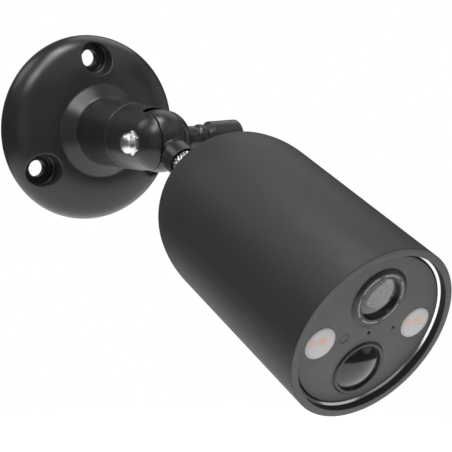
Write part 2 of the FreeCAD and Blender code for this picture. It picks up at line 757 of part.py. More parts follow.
def motion_pieces():
    """The passive infrared motion sensor and its domed lens."""
    turned("motion_ring", "camera", [
        ("motion_dome + 0.05", PANEL_BACK + " - 0.5"), ("motion_hole - 0.05", PANEL_BACK + " - 0.5"),
        ("motion_hole - 0.05", FACE), ("motion_ring", FACE), ("motion_ring", FACE + " + 0.15"),
        ("motion_ring - 0.45", FACE + " + motion_ring_rise"),
        ("motion_dome + 0.35", FACE + " + motion_ring_rise"), ("motion_dome + 0.05", FACE + " + 0.2"),
    ], up="motion_height")
    hollow = "motion_dome - 0.8"
    hollow_rise = "motion_dome_rise - 0.75"
    turned("motion_lens", "camera", [
        ("0", FACE + " + " + hollow_rise), (hollow, FACE), (hollow, PANEL_BACK + " - 0.5"),
        ("motion_dome", PANEL_BACK + " - 0.5"), ("motion_dome", FACE), ("0", FACE + " + motion_dome_rise"),
    ], {0: (cap_radius(hollow, hollow_rise), -1), 4: (cap_radius("motion_dome", "motion_dome_rise"), 1)},
        up="motion_height")
    turned("motion_sensor", "camera", [
        ("0", forward("82.2")), ("4.55", forward("82.2")), ("4.55", forward("82.7")),
        ("4.1", forward("82.7")), ("4.1", forward("86.1")), ("3.7", forward("86.5")), ("0", forward("86.5")),
    ], up="motion_height")
    box_part("motion_board", across("8"), across("4.8", "motion_height"), (forward("81.2"), forward("82.2")))


def spotlight(side, sign):
    """One spotlight: a domed window, and a round board with two light-emitting chips behind it."""
    x = "%s * light_offset" % sign
    window_back = PANEL_BACK + " - 0.7"
    turned("light_window_" + side, "camera", [
        ("4.1", window_back), ("5.4", window_back), ("5.4", PANEL_BACK), ("light_radius", PANEL_BACK),
        ("light_radius", FACE), ("light_radius - 0.25", FACE + " + 0.25"), ("0", FACE + " + light_rise"),
        ("0", FACE + " - 1.2"), ("4.1", FACE + " - 1.2"),
    ], {5: (cap_radius("light_radius - 0.25", "light_rise - 0.25"), 1)}, x=x, up="light_height")
    board = rod("light_disc_" + side, "5.5", forward("carrier_end"), forward("carrier_end + board_thickness"))
    finish(board, "light_board_" + side, "camera", (x, "light_height", forward("carrier_end")))
    chip_low = forward("carrier_end + board_thickness")
    chips = []
    for index, shift in enumerate(("-1.6", "1.6")):
        chips.append(block("chip_%s_%d" % (side, index), (shift + " - 1", shift + " + 1"), across("1"),
                           ("0", "0.7")))
    finish(group("light_chip_pair_" + side, chips), "light_chips_" + side, "camera",
           (x, "light_height + 0.7", chip_low))


def panel_electronics():
    """The strip board behind the middle of the panel, with its microphone, light sensor and indicator."""
    low = forward("carrier_end")
    top = forward("carrier_end + board_thickness")
    box_part("strip_board", across("10.4"), ("-2.8", "2.2"), (low, top))
    box_part("microphone", across("1.8"), ("-1.9", "0.8"), (top, top + " + 1"))
    turned("daylight_window", "camera", [
        ("0", PANEL_BACK), ("sensor_radius", PANEL_BACK), ("sensor_radius", FACE + " - 0.12"),
        ("0", FACE + " - 0.12"),
    ], x="-sensor_offset", up="sensor_height")
    box_part("daylight_sensor", across("1", "-sensor_offset"), across("0.8", "sensor_height"),
             (top, top + " + 0.8"))
    pipe_foot = top + " + 0.7"
    turned("indicator_pipe", "camera", [
        ("0", pipe_foot), ("1", pipe_foot), ("1", PANEL_BACK), ("pinhole_radius - 0.04", PANEL_BACK),
        ("pinhole_radius - 0.04", FACE + " - 0.3"), ("0", FACE + " - 0.3"),
    ], x="sensor_offset", up="sensor_height")
    box_part("indicator_light", across("0.8", "sensor_offset"), across("0.4", "sensor_height"),
             (top, pipe_foot))


def front_carrier():
    """The disc that the lens, the lights and the motion sensor are mounted on, and its three screws."""
    body = new_body("front_carrier")
    revolve(body, "carrier", [
        ("0", forward("carrier_start")), ("body_radius - wall_thickness - 0.2", forward("carrier_start")),
        ("body_radius - wall_thickness - 0.2", forward("carrier_end")), ("0", forward("carrier_end")),
    ])
    openings = new_sketch(body, "carrier_openings", "XY_Plane", {"z": forward("carrier_end + 1")})
    draw_circles(openings, [("0", "lens_height", "6.1"), ("0", "motion_height", "4.9")])
    pocket(body, openings, "4")
    hole = new_sketch(body, "carrier_hole", "XY_Plane", {"z": forward("carrier_end + 1")})
    draw_circles(hole, [("post_pitch * cos(post_turn)", "post_pitch * sin(post_turn)", "1.05")])
    hole_cut = pocket(body, hole, "4")
    three_around(body, "carrier_holes", [hole_cut])
    finish(body, "front_carrier", "camera")

    screws = []
    for index in range(3):
        turn = "post_turn + %d" % (120 * index)
        x = "post_pitch * cos(%s)" % turn
        up = "post_pitch * sin(%s)" % turn
        shank = rod("carrier_shank_%d" % index, "0.9", forward("carrier_end - 7"),
                    forward("carrier_end"), x, up)
        head = rod("carrier_head_%d" % index, "1.65", forward("carrier_end"), forward("carrier_end + 1.2"),
                   x, up)
        drive = rod("carrier_drive_%d" % index, "0.7", forward("carrier_end + 0.5"),
                    forward("carrier_end + 2"), x, up)
        screws.append(cut("carrier_screw_%d" % index, fuse("carrier_screw_solid_%d" % index, [shank, head]),
                          [drive]))
    finish(group("carrier_screw_set", screws), "carrier_screws", "camera")


# ---------------------------------------------------------------- battery and electronics

def battery_pieces():
    for side, sign in (("left", "-1"), ("right", "1")):
        turned("battery_cell_" + side, "camera", [
            ("0", forward("cell_start")), ("cell_radius - 0.5", forward("cell_start")),
            ("cell_radius", forward("cell_start + 0.5")), ("cell_radius", forward("cell_end - 2.6")),
            ("cell_radius - 0.4", forward("cell_end - 2.2")), ("cell_radius", forward("cell_end - 1.8")),
            ("cell_radius", forward("cell_end - 0.8")), ("cell_radius - 0.6", forward("cell_end - 0.4")),
            ("4", forward("cell_end - 0.4")), ("3.6", forward("cell_end")), ("0", forward("cell_end")),
        ], x="%s * cell_offset" % sign, up="cell_height")

    cavity = new_body("cavity")
    inset = "wall_thickness + 0.1"
    dome = dome_points(inset, "insert_boss + 0.4")
    end = forward("cell_end + 0.8")
    start = forward("boss_length + 0.3")
    revolve(cavity, "cavity", [("0", start), ("insert_boss + 0.4", start)] + dome[1:]
            + [("body_radius - (%s)" % inset, end), ("0", end)],
            {2: ("shoulder_radius - (%s)" % inset, 1), 3: ("flank_radius - (%s)" % inset, 1)})
    slab = block("cradle_slab", across("body_radius"), ("cradle_bottom", "cradle_top"),
                 (forward("boss_length"), end))
    cells = [rod("cell_room_" + side, "cell_radius + 0.1", forward("cell_start - 0.1"),
                 forward("cell_end + 2"), "%s * cell_offset" % sign, "cell_height")
             for side, sign in (("left", "-1"), ("right", "1"))]
    screw_holes = [upright_rod("cradle_hole_%d" % index, "0.9", "cradle_top - 3.5", "cradle_top + 1", x,
                               forward(ahead))
                   for index, (x, ahead) in enumerate(BOARD_SCREWS)]
    cradle = cut("cradle_cut", common("cradle_solid", [cavity, slab]), cells + screw_holes)
    finish(cradle, "battery_cradle", "camera")


BOARD_SCREWS = [(x, ahead) for x in ("1.3 - board_half", "board_half - 1.3")
                for ahead in ("board_start + 5", "board_end - 3")]


def main_board_pieces():
    low = "cradle_top"
    high = "cradle_top + board_thickness"
    plate = block("board_plate", across("board_half"), (low, high),
                  (forward("board_start"), forward("board_end")))
    holes = [upright_rod("board_hole_%d" % index, "1", "0", "2 * (%s)" % high, x, forward(ahead))
             for index, (x, ahead) in enumerate(BOARD_SCREWS)]
    finish(cut("board_cut", plate, holes), "main_board", "camera")
    box_part("shield_can", across("8"), (high, high + " + 2.2"), (forward("34"), forward("50")))
    box_part("battery_connector", ("9.5", "15.5"), (high, high + " + 4"), (forward("27"), forward("32")))
    screws = []
    for index, (x, ahead) in enumerate(BOARD_SCREWS):
        shank = upright_rod("board_shank_%d" % index, "0.9", "cradle_top - 3.4", high, x, forward(ahead))
        head = upright_rod("board_head_%d" % index, "1.65", high, high + " + 1.2", x, forward(ahead))
        drive = upright_rod("board_drive_%d" % index, "0.7", high + " + 0.5", high + " + 2", x,
                            forward(ahead))
        screws.append(cut("board_screw_%d" % index, fuse("board_screw_solid_%d" % index, [shank, head]),
                          [drive]))
    finish(group("board_screw_set", screws), "board_screws", "camera")

    skin = rod("antenna_outer", "body_radius - wall_thickness - 0.05", forward("52"), forward("62"))
    core = rod("antenna_inner", "body_radius - wall_thickness - 0.4", forward("51"), forward("63"))
    strip = block("antenna_strip", across("13"), ("15", "body_radius"), (forward("52"), forward("62")))
    finish(common("antenna_common", [cut("antenna_sheet", skin, [core]), strip]), "wifi_antenna", "camera")


def speaker():
    top = "cradle_bottom - 1.2"
    disc = upright_rod("speaker_disc", "speaker_radius", top + " - 3.4", top,
                       ahead=forward("speaker_position"))
    magnet = upright_rod("speaker_magnet", "4.5", top, "cradle_bottom - 0.1",
                         ahead=forward("speaker_position"))
    dish = upright_rod("speaker_dish", "speaker_radius - 1", top + " - 3.5", top + " - 2.9",
                       ahead=forward("speaker_position"))
    finish(cut("speaker_cut", fuse("speaker_solid", [disc, magnet]), [dish]), "speaker", "camera")


def port_pieces():
    """The charging port, power button and their bezel behind the flap in the housing's underside."""
    board_low = "cradle_bottom - board_thickness"
    box_part("port_board", across("9"), (board_low, "cradle_bottom"), (forward("33"), forward("49")))

    usb = forward("usb_position")
    mouth = "-port_floor + 0.6"
    shell = block("usb_box", across("4.5"), (mouth, board_low), across("1.6", usb))
    room = block("usb_room", across("4.2"), (mouth + " - 1", board_low + " - 0.8"), across("1.3", usb))
    tongue = block("usb_tongue", across("3.35"), (mouth + " + 0.8", board_low), across("0.35", usb))
    finish(fuse("usb_solid", [cut("usb_shell", shell, [room]), tongue]), "usb_socket", "camera")

    place = forward("button_position")
    switch_low = board_low + " - 1.5"
    body = block("switch_box", across("2"), (switch_low, board_low), across("2", place))
    plunger = upright_rod("switch_plunger", "0.9", switch_low + " - 0.6", switch_low, ahead=place)
    finish(fuse("switch_solid", [body, plunger]), "button_switch", "camera")
    cap_top = switch_low + " - 0.6 - button_travel - 0.05"
    cap = upright_rod("button_rod", "button_radius", "-port_floor + 0.3", cap_top, ahead=place)
    flange = upright_rod("button_flange", "button_radius + 0.6", "-port_floor + 2.7", cap_top, ahead=place)
    finish(fuse("button_solid", [cap, flange]), "power_button", "camera")

    outer = rod("bezel_outer", "body_radius - wall_thickness - 0.05", forward("31"), forward("51"))
    inner = rod("bezel_core", "body_radius - wall_thickness - 1.4", forward("30"), forward("52"))
    plate = block("bezel_plate", across("port_half + 2"), ("-body_radius", "-15"),
                  (forward("31"), forward("51")))
    bezel = cut("bezel_cut", common("bezel_common", [cut("bezel_tube", outer, [inner]), plate]), [
        block("bezel_slot", across("4.6"), ("-body_radius", "-15"), across("1.7", usb)),
        upright_rod("bezel_hole", "button_radius + 0.15", "-body_radius", "-15", ahead=place),
    ])
    finish(bezel, "port_bezel", "camera")

    flap_start = forward("port_start + flap_gap")
    flap_end = forward("port_end - flap_swing_gap")
    sleeve = cut("flap_sleeve", rod("flap_outer", "body_radius", flap_start, flap_end),
                 [rod("flap_core", "body_radius - flap_thickness", flap_start + " - 1", flap_end + " + 1")])
    patch = block("flap_patch", across("port_half - flap_gap"), ("-1.1 * body_radius", "-15"),
                  (flap_start, flap_end))
    finish(common("flap_common", [sleeve, patch]), "port_flap", "camera")


# ---------------------------------------------------------------- build, check and write

wall_plate()
swivel_fork()
swivel_fasteners()
clamp_pieces()
knuckle_pieces()
main_housing()
stud_insert()
front_panel()
lens_pieces()
motion_pieces()
spotlight("left", "-1")
spotlight("right", "1")
panel_electronics()
front_carrier()
battery_pieces()
main_board_pieces()
speaker()
port_pieces()
doc.recompute()

for item in doc.Objects:
    if "Invalid" in item.State or "Error" in item.State:
        raise RuntimeError("%s failed: %s" % (item.Name, item.State))
for item in SUB_PARTS:
    if item.Shape.isNull() or not item.Shape.isValid() or not item.Shape.Solids:
        raise RuntimeError(item.Label + " has no valid solid")

os.makedirs("parts", exist_ok=True)
for item in SUB_PARTS:
    item.Shape.exportStep("parts/%s.step" % item.Label)
    solids = item.Shape.Solids
    print("%-22s %d solid(s) %10.1f mm3" % (item.Label, len(solids), sum(solid.Volume for solid in solids)))
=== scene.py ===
import json
import math

import bmesh
import bpy
import numpy as np
from mathutils import Matrix, Vector


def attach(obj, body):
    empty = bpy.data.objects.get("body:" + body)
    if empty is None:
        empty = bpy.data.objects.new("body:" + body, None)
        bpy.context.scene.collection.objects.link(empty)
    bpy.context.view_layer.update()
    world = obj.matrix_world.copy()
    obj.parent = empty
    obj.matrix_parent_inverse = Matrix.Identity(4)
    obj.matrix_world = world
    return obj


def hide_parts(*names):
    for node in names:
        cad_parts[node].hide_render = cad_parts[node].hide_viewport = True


# A battery-powered outdoor security camera on a swivelling and tilting wall bracket.
# Outlines are drawn in millimetres in a local frame of their assembly, as (radius, forward) pairs,
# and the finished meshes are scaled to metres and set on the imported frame's pivots.

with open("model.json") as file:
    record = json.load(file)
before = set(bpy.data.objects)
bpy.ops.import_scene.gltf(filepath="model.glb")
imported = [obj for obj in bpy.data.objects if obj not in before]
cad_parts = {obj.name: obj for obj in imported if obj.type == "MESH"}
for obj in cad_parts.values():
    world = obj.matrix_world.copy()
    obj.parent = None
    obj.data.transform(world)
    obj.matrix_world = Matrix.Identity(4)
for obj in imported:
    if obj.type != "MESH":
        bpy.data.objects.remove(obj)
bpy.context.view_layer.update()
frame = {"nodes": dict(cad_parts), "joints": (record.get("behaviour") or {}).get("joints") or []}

MM = 0.001
JOINTS = {joint["name"]: joint for joint in frame["joints"]}
PIVOT = Vector(JOINTS["camera_tilt"]["pos_m"])
FORWARD = Vector(JOINTS["camera_roll"]["axis"])

# ---------------------------------------------------------------- driving dimensions, in millimetres

PIVOT_REACH = -PIVOT.y / MM

PLATE_RADIUS = 36.0
RIM_RADIUS, RIM_TURN = 10.23, math.radians(60.8)
CROWN_ARC = 30.95
BOSS_RADIUS, BOSS_BASE = 17.6, 12.87
NECK_ROOT, NECK_START = 12.8, 17.2
NECK_TIP, NECK_END = 12.0, 38.6
STEM_START, STEM_RADIUS = 14.6, 6.0
SCREW_PITCH, SCREW_HOLE = 27.3, 3.2
COUNTERBORE_FLOOR, COUNTERBORE_ROOT, COUNTERBORE_MOUTH, COUNTERBORE_TOP = 3.4, 5.8, 6.45, 14.0
COUNTERBORE_STEP = 6.2

FORK_START = NECK_END + 0.1
BALL_RADIUS = 11.1
SLOT_HALF, SLOT_SWEEP = 4.6, 12.1
EAR_FLAT, EAR_SEAT = 10.3, 4.65
NUT_FLATS, NUT_SEAT, NUT_FACE = 7.4, 8.8, 11.5
NUT_CROWN, NUT_SHOULDER, NUT_RISE = 3.45, 13.4, 1.7
CLAMP_RADIUS, CLAMP_PLAY = 2.5, 0.06
KNOB_STEM, KNOB_STEM_END, KNOB_WAIST, KNOB_BEAD = 4.3, 13.4, 4.0, 4.75
BEAD_START, BEAD_END = 14.4, 18.3
GRIP_START, GRIP_RADIUS, GRIP_END = 19.9, 5.5, 32.0

KNUCKLE_HALF, KNUCKLE_RADIUS = 4.3, 10.95
STUB_START, STUB_RADIUS, STUB_END, WEB_STEP = 11.6, 5.65, 17.6, 0.35
COLLAR_POCKET, COLLAR_POCKET_FLOOR = 5.25, 16.0
STUD_RADIUS = 3.175
COLLAR_RADIUS, COLLAR_START = 4.75, 16.4

REAR_GAP = 29.5
BODY_LENGTH, BODY_RADIUS = 90.8, 26.75
WALL = 2.6
DOME_DEPTH = 28.4
FLANK_RADIUS, FLANK_TURN = 38.46, math.radians(17.48)
SHOULDER_RADIUS, SHOULDER_TURN = 23.26, math.radians(63.08)
CROWN_RADIUS = 29.34
# the lip's front face, to the second depth here, is painted the lighter panel grey as painted light
LIP_WIDTH, LIP_PAINTED_LIGHT, RECESS = 2.24, 0.08, 2.2
PANEL_THICKNESS = 2.4
FRONT = REAR_GAP + BODY_LENGTH
FACE = FRONT - RECESS
PANEL_BACK = FACE - PANEL_THICKNESS
PANEL_RADIUS = 23.35
RING_INNER, RING_OUTER, RING_RISE = 23.75, 24.46, 0.25
LENS_HEIGHT, LENS_HOLE = 10.6, 8.0
BEZEL_RADIUS, BEZEL_FLAT, BEZEL_INNER, BEZEL_RISE = 9.0, 8.1, 6.4, 0.75
GLASS_RADIUS, GLASS_DEPTH, GLASS_CROWN = 5.95, 0.5, 0.55
MOTION_HEIGHT, MOTION_HOLE, MOTION_RING = -12.25, 7.7, 8.55
MOTION_DOME, MOTION_RISE = 7.15, 2.1
LIGHT_OFFSET, LIGHT_HEIGHT, LIGHT_RADIUS, LIGHT_RISE = 16.6, -0.5, 4.88, 0.45
SENSOR_OFFSET, SENSOR_HEIGHT, SENSOR_RADIUS = 8.6, -0.6, 1.5
PINHOLE = 0.5
PORT_HALF, PORT_START, PORT_END = 8.5, 34.0, 48.0
FLAP_GAP, FLAP_SWING_GAP, FLAP_THICKNESS = 0.15, 0.3, 1.5
SPEAKER_POSITION, GRILLE_RING, GRILLE_HOLE = 60.0, 2.6, 0.6
CUT_DEPTHS = 15, 30

# ---------------------------------------------------------------- local frames


def local_frame(origin, x_axis, y_axis):
    """A local frame at a point in metres. Its z axis is square to the two axes given."""
    x_axis, y_axis = x_axis.normalized(), y_axis.normalized()
    turn = Matrix((x_axis, y_axis, x_axis.cross(y_axis))).transposed()
    return Matrix.Translation(origin) @ turn.to_4x4()


UPRIGHT = Vector((0, 0, 1))
ACROSS = Vector((1, 0, 0))
WALL_FRAME = local_frame(Vector((0, 0, 0)), ACROSS, UPRIGHT)
CAMERA_FRAME = local_frame(PIVOT, ACROSS, FORWARD.cross(ACROSS))
CLAMP_FRAME = local_frame(PIVOT, -UPRIGHT, UPRIGHT.cross(ACROSS))


def shifted(place, x=0.0, up=0.0, ahead=0.0):
    """A frame moved by millimetres along its own axes."""
    return place @ Matrix.Translation(Vector((x, up, ahead)) * MM)


# ---------------------------------------------------------------- outlines


def arc_between(start, stop, radius, side, steps):
    """Points strictly between two points on an arc, whose centre is left (1) or right (-1) of the chord."""
    start, stop = Vector(start), Vector(stop)
    chord = stop - start
    height = math.sqrt(max(radius ** 2 - (chord.length / 2) ** 2, 0))
    centre = (start + stop) / 2 + Vector((-chord.y, chord.x)).normalized() * height * side
    first = math.atan2(start.y - centre.y, start.x - centre.x)
    turn = math.atan2(stop.y - centre.y, stop.x - centre.x) - first
    turn = (turn + math.pi) % (2 * math.pi) - math.pi
    angles = [first + turn * step / steps for step in range(1, steps)]
    return [(centre.x + radius * math.cos(angle), centre.y + radius * math.sin(angle)) for angle in angles]


def rounded_corner(before, corner, after, radius, steps=6):
    """The points that replace a corner by an arc of a given radius."""
    corner = Vector(corner)
    back = (Vector(before) - corner).normalized()
    ahead = (Vector(after) - corner).normalized()
    half = back.angle(ahead) / 2
    reach = radius / math.tan(half)
    start, stop = corner + back * reach, corner + ahead * reach
    side = 1 if back.x * ahead.y - back.y * ahead.x < 0 else -1
    return [tuple(start)] + arc_between(start, stop, radius, side, steps) + [tuple(stop)]


def outline(corners, arcs=None, arc_steps=24):
    """A closed outline from corners (x, y) or (x, y, fillet). arcs maps an edge's index to (radius, side)."""
    arcs = arcs or {}
    count = len(corners)
    fine = {}
    for index, corner in enumerate(corners):
        start, stop = corner[:2], corners[(index + 1) % count][:2]
        radius_side = arcs.get(index)
        fine[index] = arc_between(start, stop, *radius_side, arc_steps) if radius_side else []
    points = []
    for index, corner in enumerate(corners):
        previous = (index - 1) % count
        before = (fine[previous] or [corners[previous][:2]])[-1]
        after = (fine[index] or [corners[(index + 1) % count][:2]])[0]
        if len(corner) == 3:
            points += rounded_corner(before, corner[:2], after, corner[2])
        else:
            points.append(tuple(corner))
        points += fine[index]
    return points


def cap_radius(rim, rise):
    """The radius of a spherical cap from its rim's radius and its rise."""
    return (rim ** 2 + rise ** 2) / (2 * rise)


# ---------------------------------------------------------------- meshes


def finished(name, mesh, place, body, material, nodes=()):
    """Puts a mesh drawn in millimetres on its body, in the place of CAD nodes."""
    mesh.transform(Matrix.Scale(MM, 4))
    item = bpy.data.objects.new(name, mesh)
    bpy.context.scene.collection.objects.link(item)
    item.matrix_world = place
    mesh.materials.append(material)
    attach(item, body)
    if nodes:
        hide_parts(*nodes)
    return item


def shade(mesh, sharp_angle=math.radians(34)):
    """Smooth shading with sharp edges where faces meet steeply."""
    mesh.shade_smooth()
    mesh.set_sharp_from_angle(angle=sharp_angle)
    return mesh


def lathe(name, points, segments=160):
    """Turns a closed (radius, forward) outline about local z."""
    bm = bmesh.new()
    rings = []
    for radius, ahead in points:
        if radius < 1e-6:
            rings.append([bm.verts.new((0, 0, ahead))])
            continue
        turns = [2 * math.pi * step / segments for step in range(segments)]
        rings.append([bm.verts.new((radius * math.cos(turn), radius * math.sin(turn), ahead))
                      for turn in turns])
    for index, ring in enumerate(rings):
        following = rings[(index + 1) % len(rings)]
        if len(ring) == 1 and len(following) == 1:
            continue
        for step in range(segments):
            after = (step + 1) % segments
            if len(ring) == 1:
                corners = [ring[0], following[after], following[step]]
            elif len(following) == 1:
                corners = [ring[step], ring[after], following[0]]
            else:
                corners = [ring[step], ring[after], following[after], following[step]]
            bm.faces.new(corners)
    bmesh.ops.recalc_face_normals(bm, faces=bm.faces)
    mesh = bpy.data.meshes.new(name)
    bm.to_mesh(mesh)
    bm.free()
    return shade(mesh)


def prism(name, points, low, high):
    """A solid between two heights along local z over a closed outline."""
    bm = bmesh.new()
    foot = [bm.verts.new((x, y, low)) for x, y in points]
    head = [bm.verts.new((x, y, high)) for x, y in points]
    bm.faces.new(foot[::-1])
    bm.faces.new(head)
    for index in range(len(points)):
        after = (index + 1) % len(points)
        bm.faces.new([foot[index], foot[after], head[after], head[index]])
    bmesh.ops.recalc_face_normals(bm, faces=bm.faces)
    mesh = bpy.data.meshes.new(name)
    bm.to_mesh(mesh)
    bm.free()
    return mesh


def carve(mesh, cutters):
    """Cuts meshes out of a mesh and gives the result as a new mesh."""
    target = bpy.data.objects.new("carved", mesh)
    bpy.context.scene.collection.objects.link(target)
    helpers = []
    for cutter in cutters:
        helper = bpy.data.objects.new("cutter", cutter)
        bpy.context.scene.collection.objects.link(helper)
        helpers.append(helper)
        modifier = target.modifiers.new("carve", "BOOLEAN")
        modifier.operation = "DIFFERENCE"
        modifier.solver = "EXACT"
        modifier.object = helper
    result = bpy.data.meshes.new_from_object(target.evaluated_get(bpy.context.evaluated_depsgraph_get()))
    for item in [target] + helpers:
        bpy.data.objects.remove(item)
    return shade(result)


def moved(mesh, x=0.0, y=0.0, z=0.0, turn=None):
    """The same mesh after a turn and a shift in millimetres."""
    mesh.transform(Matrix.Translation((x, y, z)) @ (turn or Matrix.Identity(4)))
    return mesh


# ---------------------------------------------------------------- rounded solids from distances


def length(*parts):
    return np.sqrt(sum(part * part for part in parts))


def both(first, second, radius=0.3):
    """The space in two distances at once, with a rounded edge."""
    outside = length(np.maximum(first + radius, 0), np.maximum(second + radius, 0))
    return np.minimum(np.maximum(first, second), -radius) + outside


def without(first, second, radius=0.3):
    return both(first, -second, radius)


def either(first, second, radius=0.3):
    """The space in one of two distances, with a filleted corner."""
    return -both(-first, -second, radius)


def outline_distance(points, x, y):
    """The signed distance to a closed outline, negative inside."""
    nearest = np.full(np.broadcast(x, y).shape, np.inf)
    inside = np.zeros(nearest.shape, bool)
    for (start_x, start_y), (stop_x, stop_y) in zip(points, points[1:] + points[:1]):
        run_x, run_y = stop_x - start_x, stop_y - start_y
        share = ((x - start_x) * run_x + (y - start_y) * run_y) / (run_x ** 2 + run_y ** 2)
        share = np.clip(share, 0, 1)
        away = (x - start_x - share * run_x) ** 2 + (y - start_y - share * run_y) ** 2
        nearest = np.minimum(nearest, away)
        if run_y:
            crosses = (start_y > y) != (stop_y > y)
            inside ^= crosses & (x < start_x + (y - start_y) * run_x / run_y)
    return np.where(inside, -1, 1) * np.sqrt(nearest)


def turned_distance(points, through_axis, step=0.06, margin=2.0):
    """A function that gives the distance to a turned outline, from a fine table of it."""
    if through_axis:
        points = [point for point in points if point[0] > 1e-6]
        points = points + [(-radius, ahead) for radius, ahead in reversed(points)]
    reach = max(radius for radius, _ in points) + margin
    low = min(ahead for _, ahead in points) - margin
    high = max(ahead for _, ahead in points) + margin
    radii, heights = np.arange(0, reach * 1.5, step), np.arange(low, high, step)
    table = outline_distance(points, radii[:, None], heights[None, :])

    def distance(radius, ahead):
        column = np.clip(radius / step, 0, len(radii) - 1.001)
        row = np.clip((ahead - low) / step, 0, len(heights) - 1.001)
        i, j = column.astype(int), row.astype(int)
        a, b = column - i, row - j
        near = table[i, j] * (1 - a) + table[i + 1, j] * a
        far = table[i, j + 1] * (1 - a) + table[i + 1, j + 1] * a
        return near * (1 - b) + far * b

    return distance


def slope(distance, points, step=0.02):
    """The distance's gradient at points."""
    gradient = np.empty_like(points)
    for axis in range(3):
        ahead, behind = points.copy(), points.copy()
        ahead[:, axis] += step
        behind[:, axis] -= step
        gradient[:, axis] = (distance(*ahead.T) - distance(*behind.T)) / (2 * step)
    return gradient


SMOOTHING_ROUNDS, SETTLING_STEPS, LEAST_STEEPNESS = 4, 3, 0.05


def settled(distance, points):
    """Points moved along the gradient onto the zero surface of a distance."""
    for _ in range(SETTLING_STEPS):
        gradient = slope(distance, points)
        steep = np.maximum((gradient ** 2).sum(1), LEAST_STEEPNESS)
        points = points - gradient * (distance(*points.T) / steep)[:, None]
    return points


def skin(name, distance, low, high, cell):
    """A mesh of quads on the zero surface of a distance: one vertex for each grid cell that it crosses."""
    axes = [np.arange(start - 2 * cell, stop + 3 * cell, cell) for start, stop in zip(low, high)]
    inside = distance(*np.meshgrid(*axes, indexing="ij", sparse=True)) < 0
    count = np.zeros([size - 1 for size in inside.shape], np.int8)
    for corner in np.ndindex(2, 2, 2):
        count += inside[tuple(slice(c, c + size) for c, size in zip(corner, count.shape))]
    crossed = (count > 0) & (count < 8)
    number = np.full(count.shape, -1)
    number[crossed] = np.arange(crossed.sum())
    places = np.argwhere(crossed)
    points = np.stack([axes[axis][places[:, axis]] + cell / 2 for axis in range(3)], axis=1)

    quads = []
    for axis in range(3):
        near = np.take(inside, range(inside.shape[axis] - 1), axis)
        far = np.take(inside, range(1, inside.shape[axis]), axis)
        second, third = (axis + 1) % 3, (axis + 2) % 3
        edges = np.argwhere(near != far)
        outward = near[tuple(edges.T)]
        corners = []
        for back_second, back_third in ((1, 1), (0, 1), (0, 0), (1, 0)):
            shift = np.zeros(3, int)
            shift[second], shift[third] = back_second, back_third
            corners.append(number[tuple((edges - shift).T)])
        faces = np.stack(corners, axis=1)
        faces[~outward] = faces[~outward][:, ::-1]
        quads.append(faces)
    quads = np.concatenate(quads)

    links = np.concatenate([quads[:, [side, (side + 1) % 4]] for side in range(4)])
    neighbours = np.bincount(links[:, 0], minlength=len(points))[:, None]
    for _ in range(SMOOTHING_ROUNDS):
        points = settled(distance, points)
        total = np.stack([np.bincount(links[:, 0], points[links[:, 1], axis], len(points))
                          for axis in range(3)], axis=1)
        points = (points + total / neighbours) / 2
    points = settled(distance, points)

    mesh = bpy.data.meshes.new(name)
    mesh.from_pydata(points.tolist(), [], quads.tolist())
    mesh.shade_smooth()
    return mesh


# ---------------------------------------------------------------- procedural materials

PANEL_GREY = (0.112, 0.112, 0.113)
BEZEL_PRINT, PRINT_HALF, PRINT_MARKS, PRINT_GROUPS = 7.3, 0.2, 72.0, 6.0
CHIP_MIDDLE, CHIP_SHIFT, CHIP_RAISE = -1.7, 2.0, 0.9

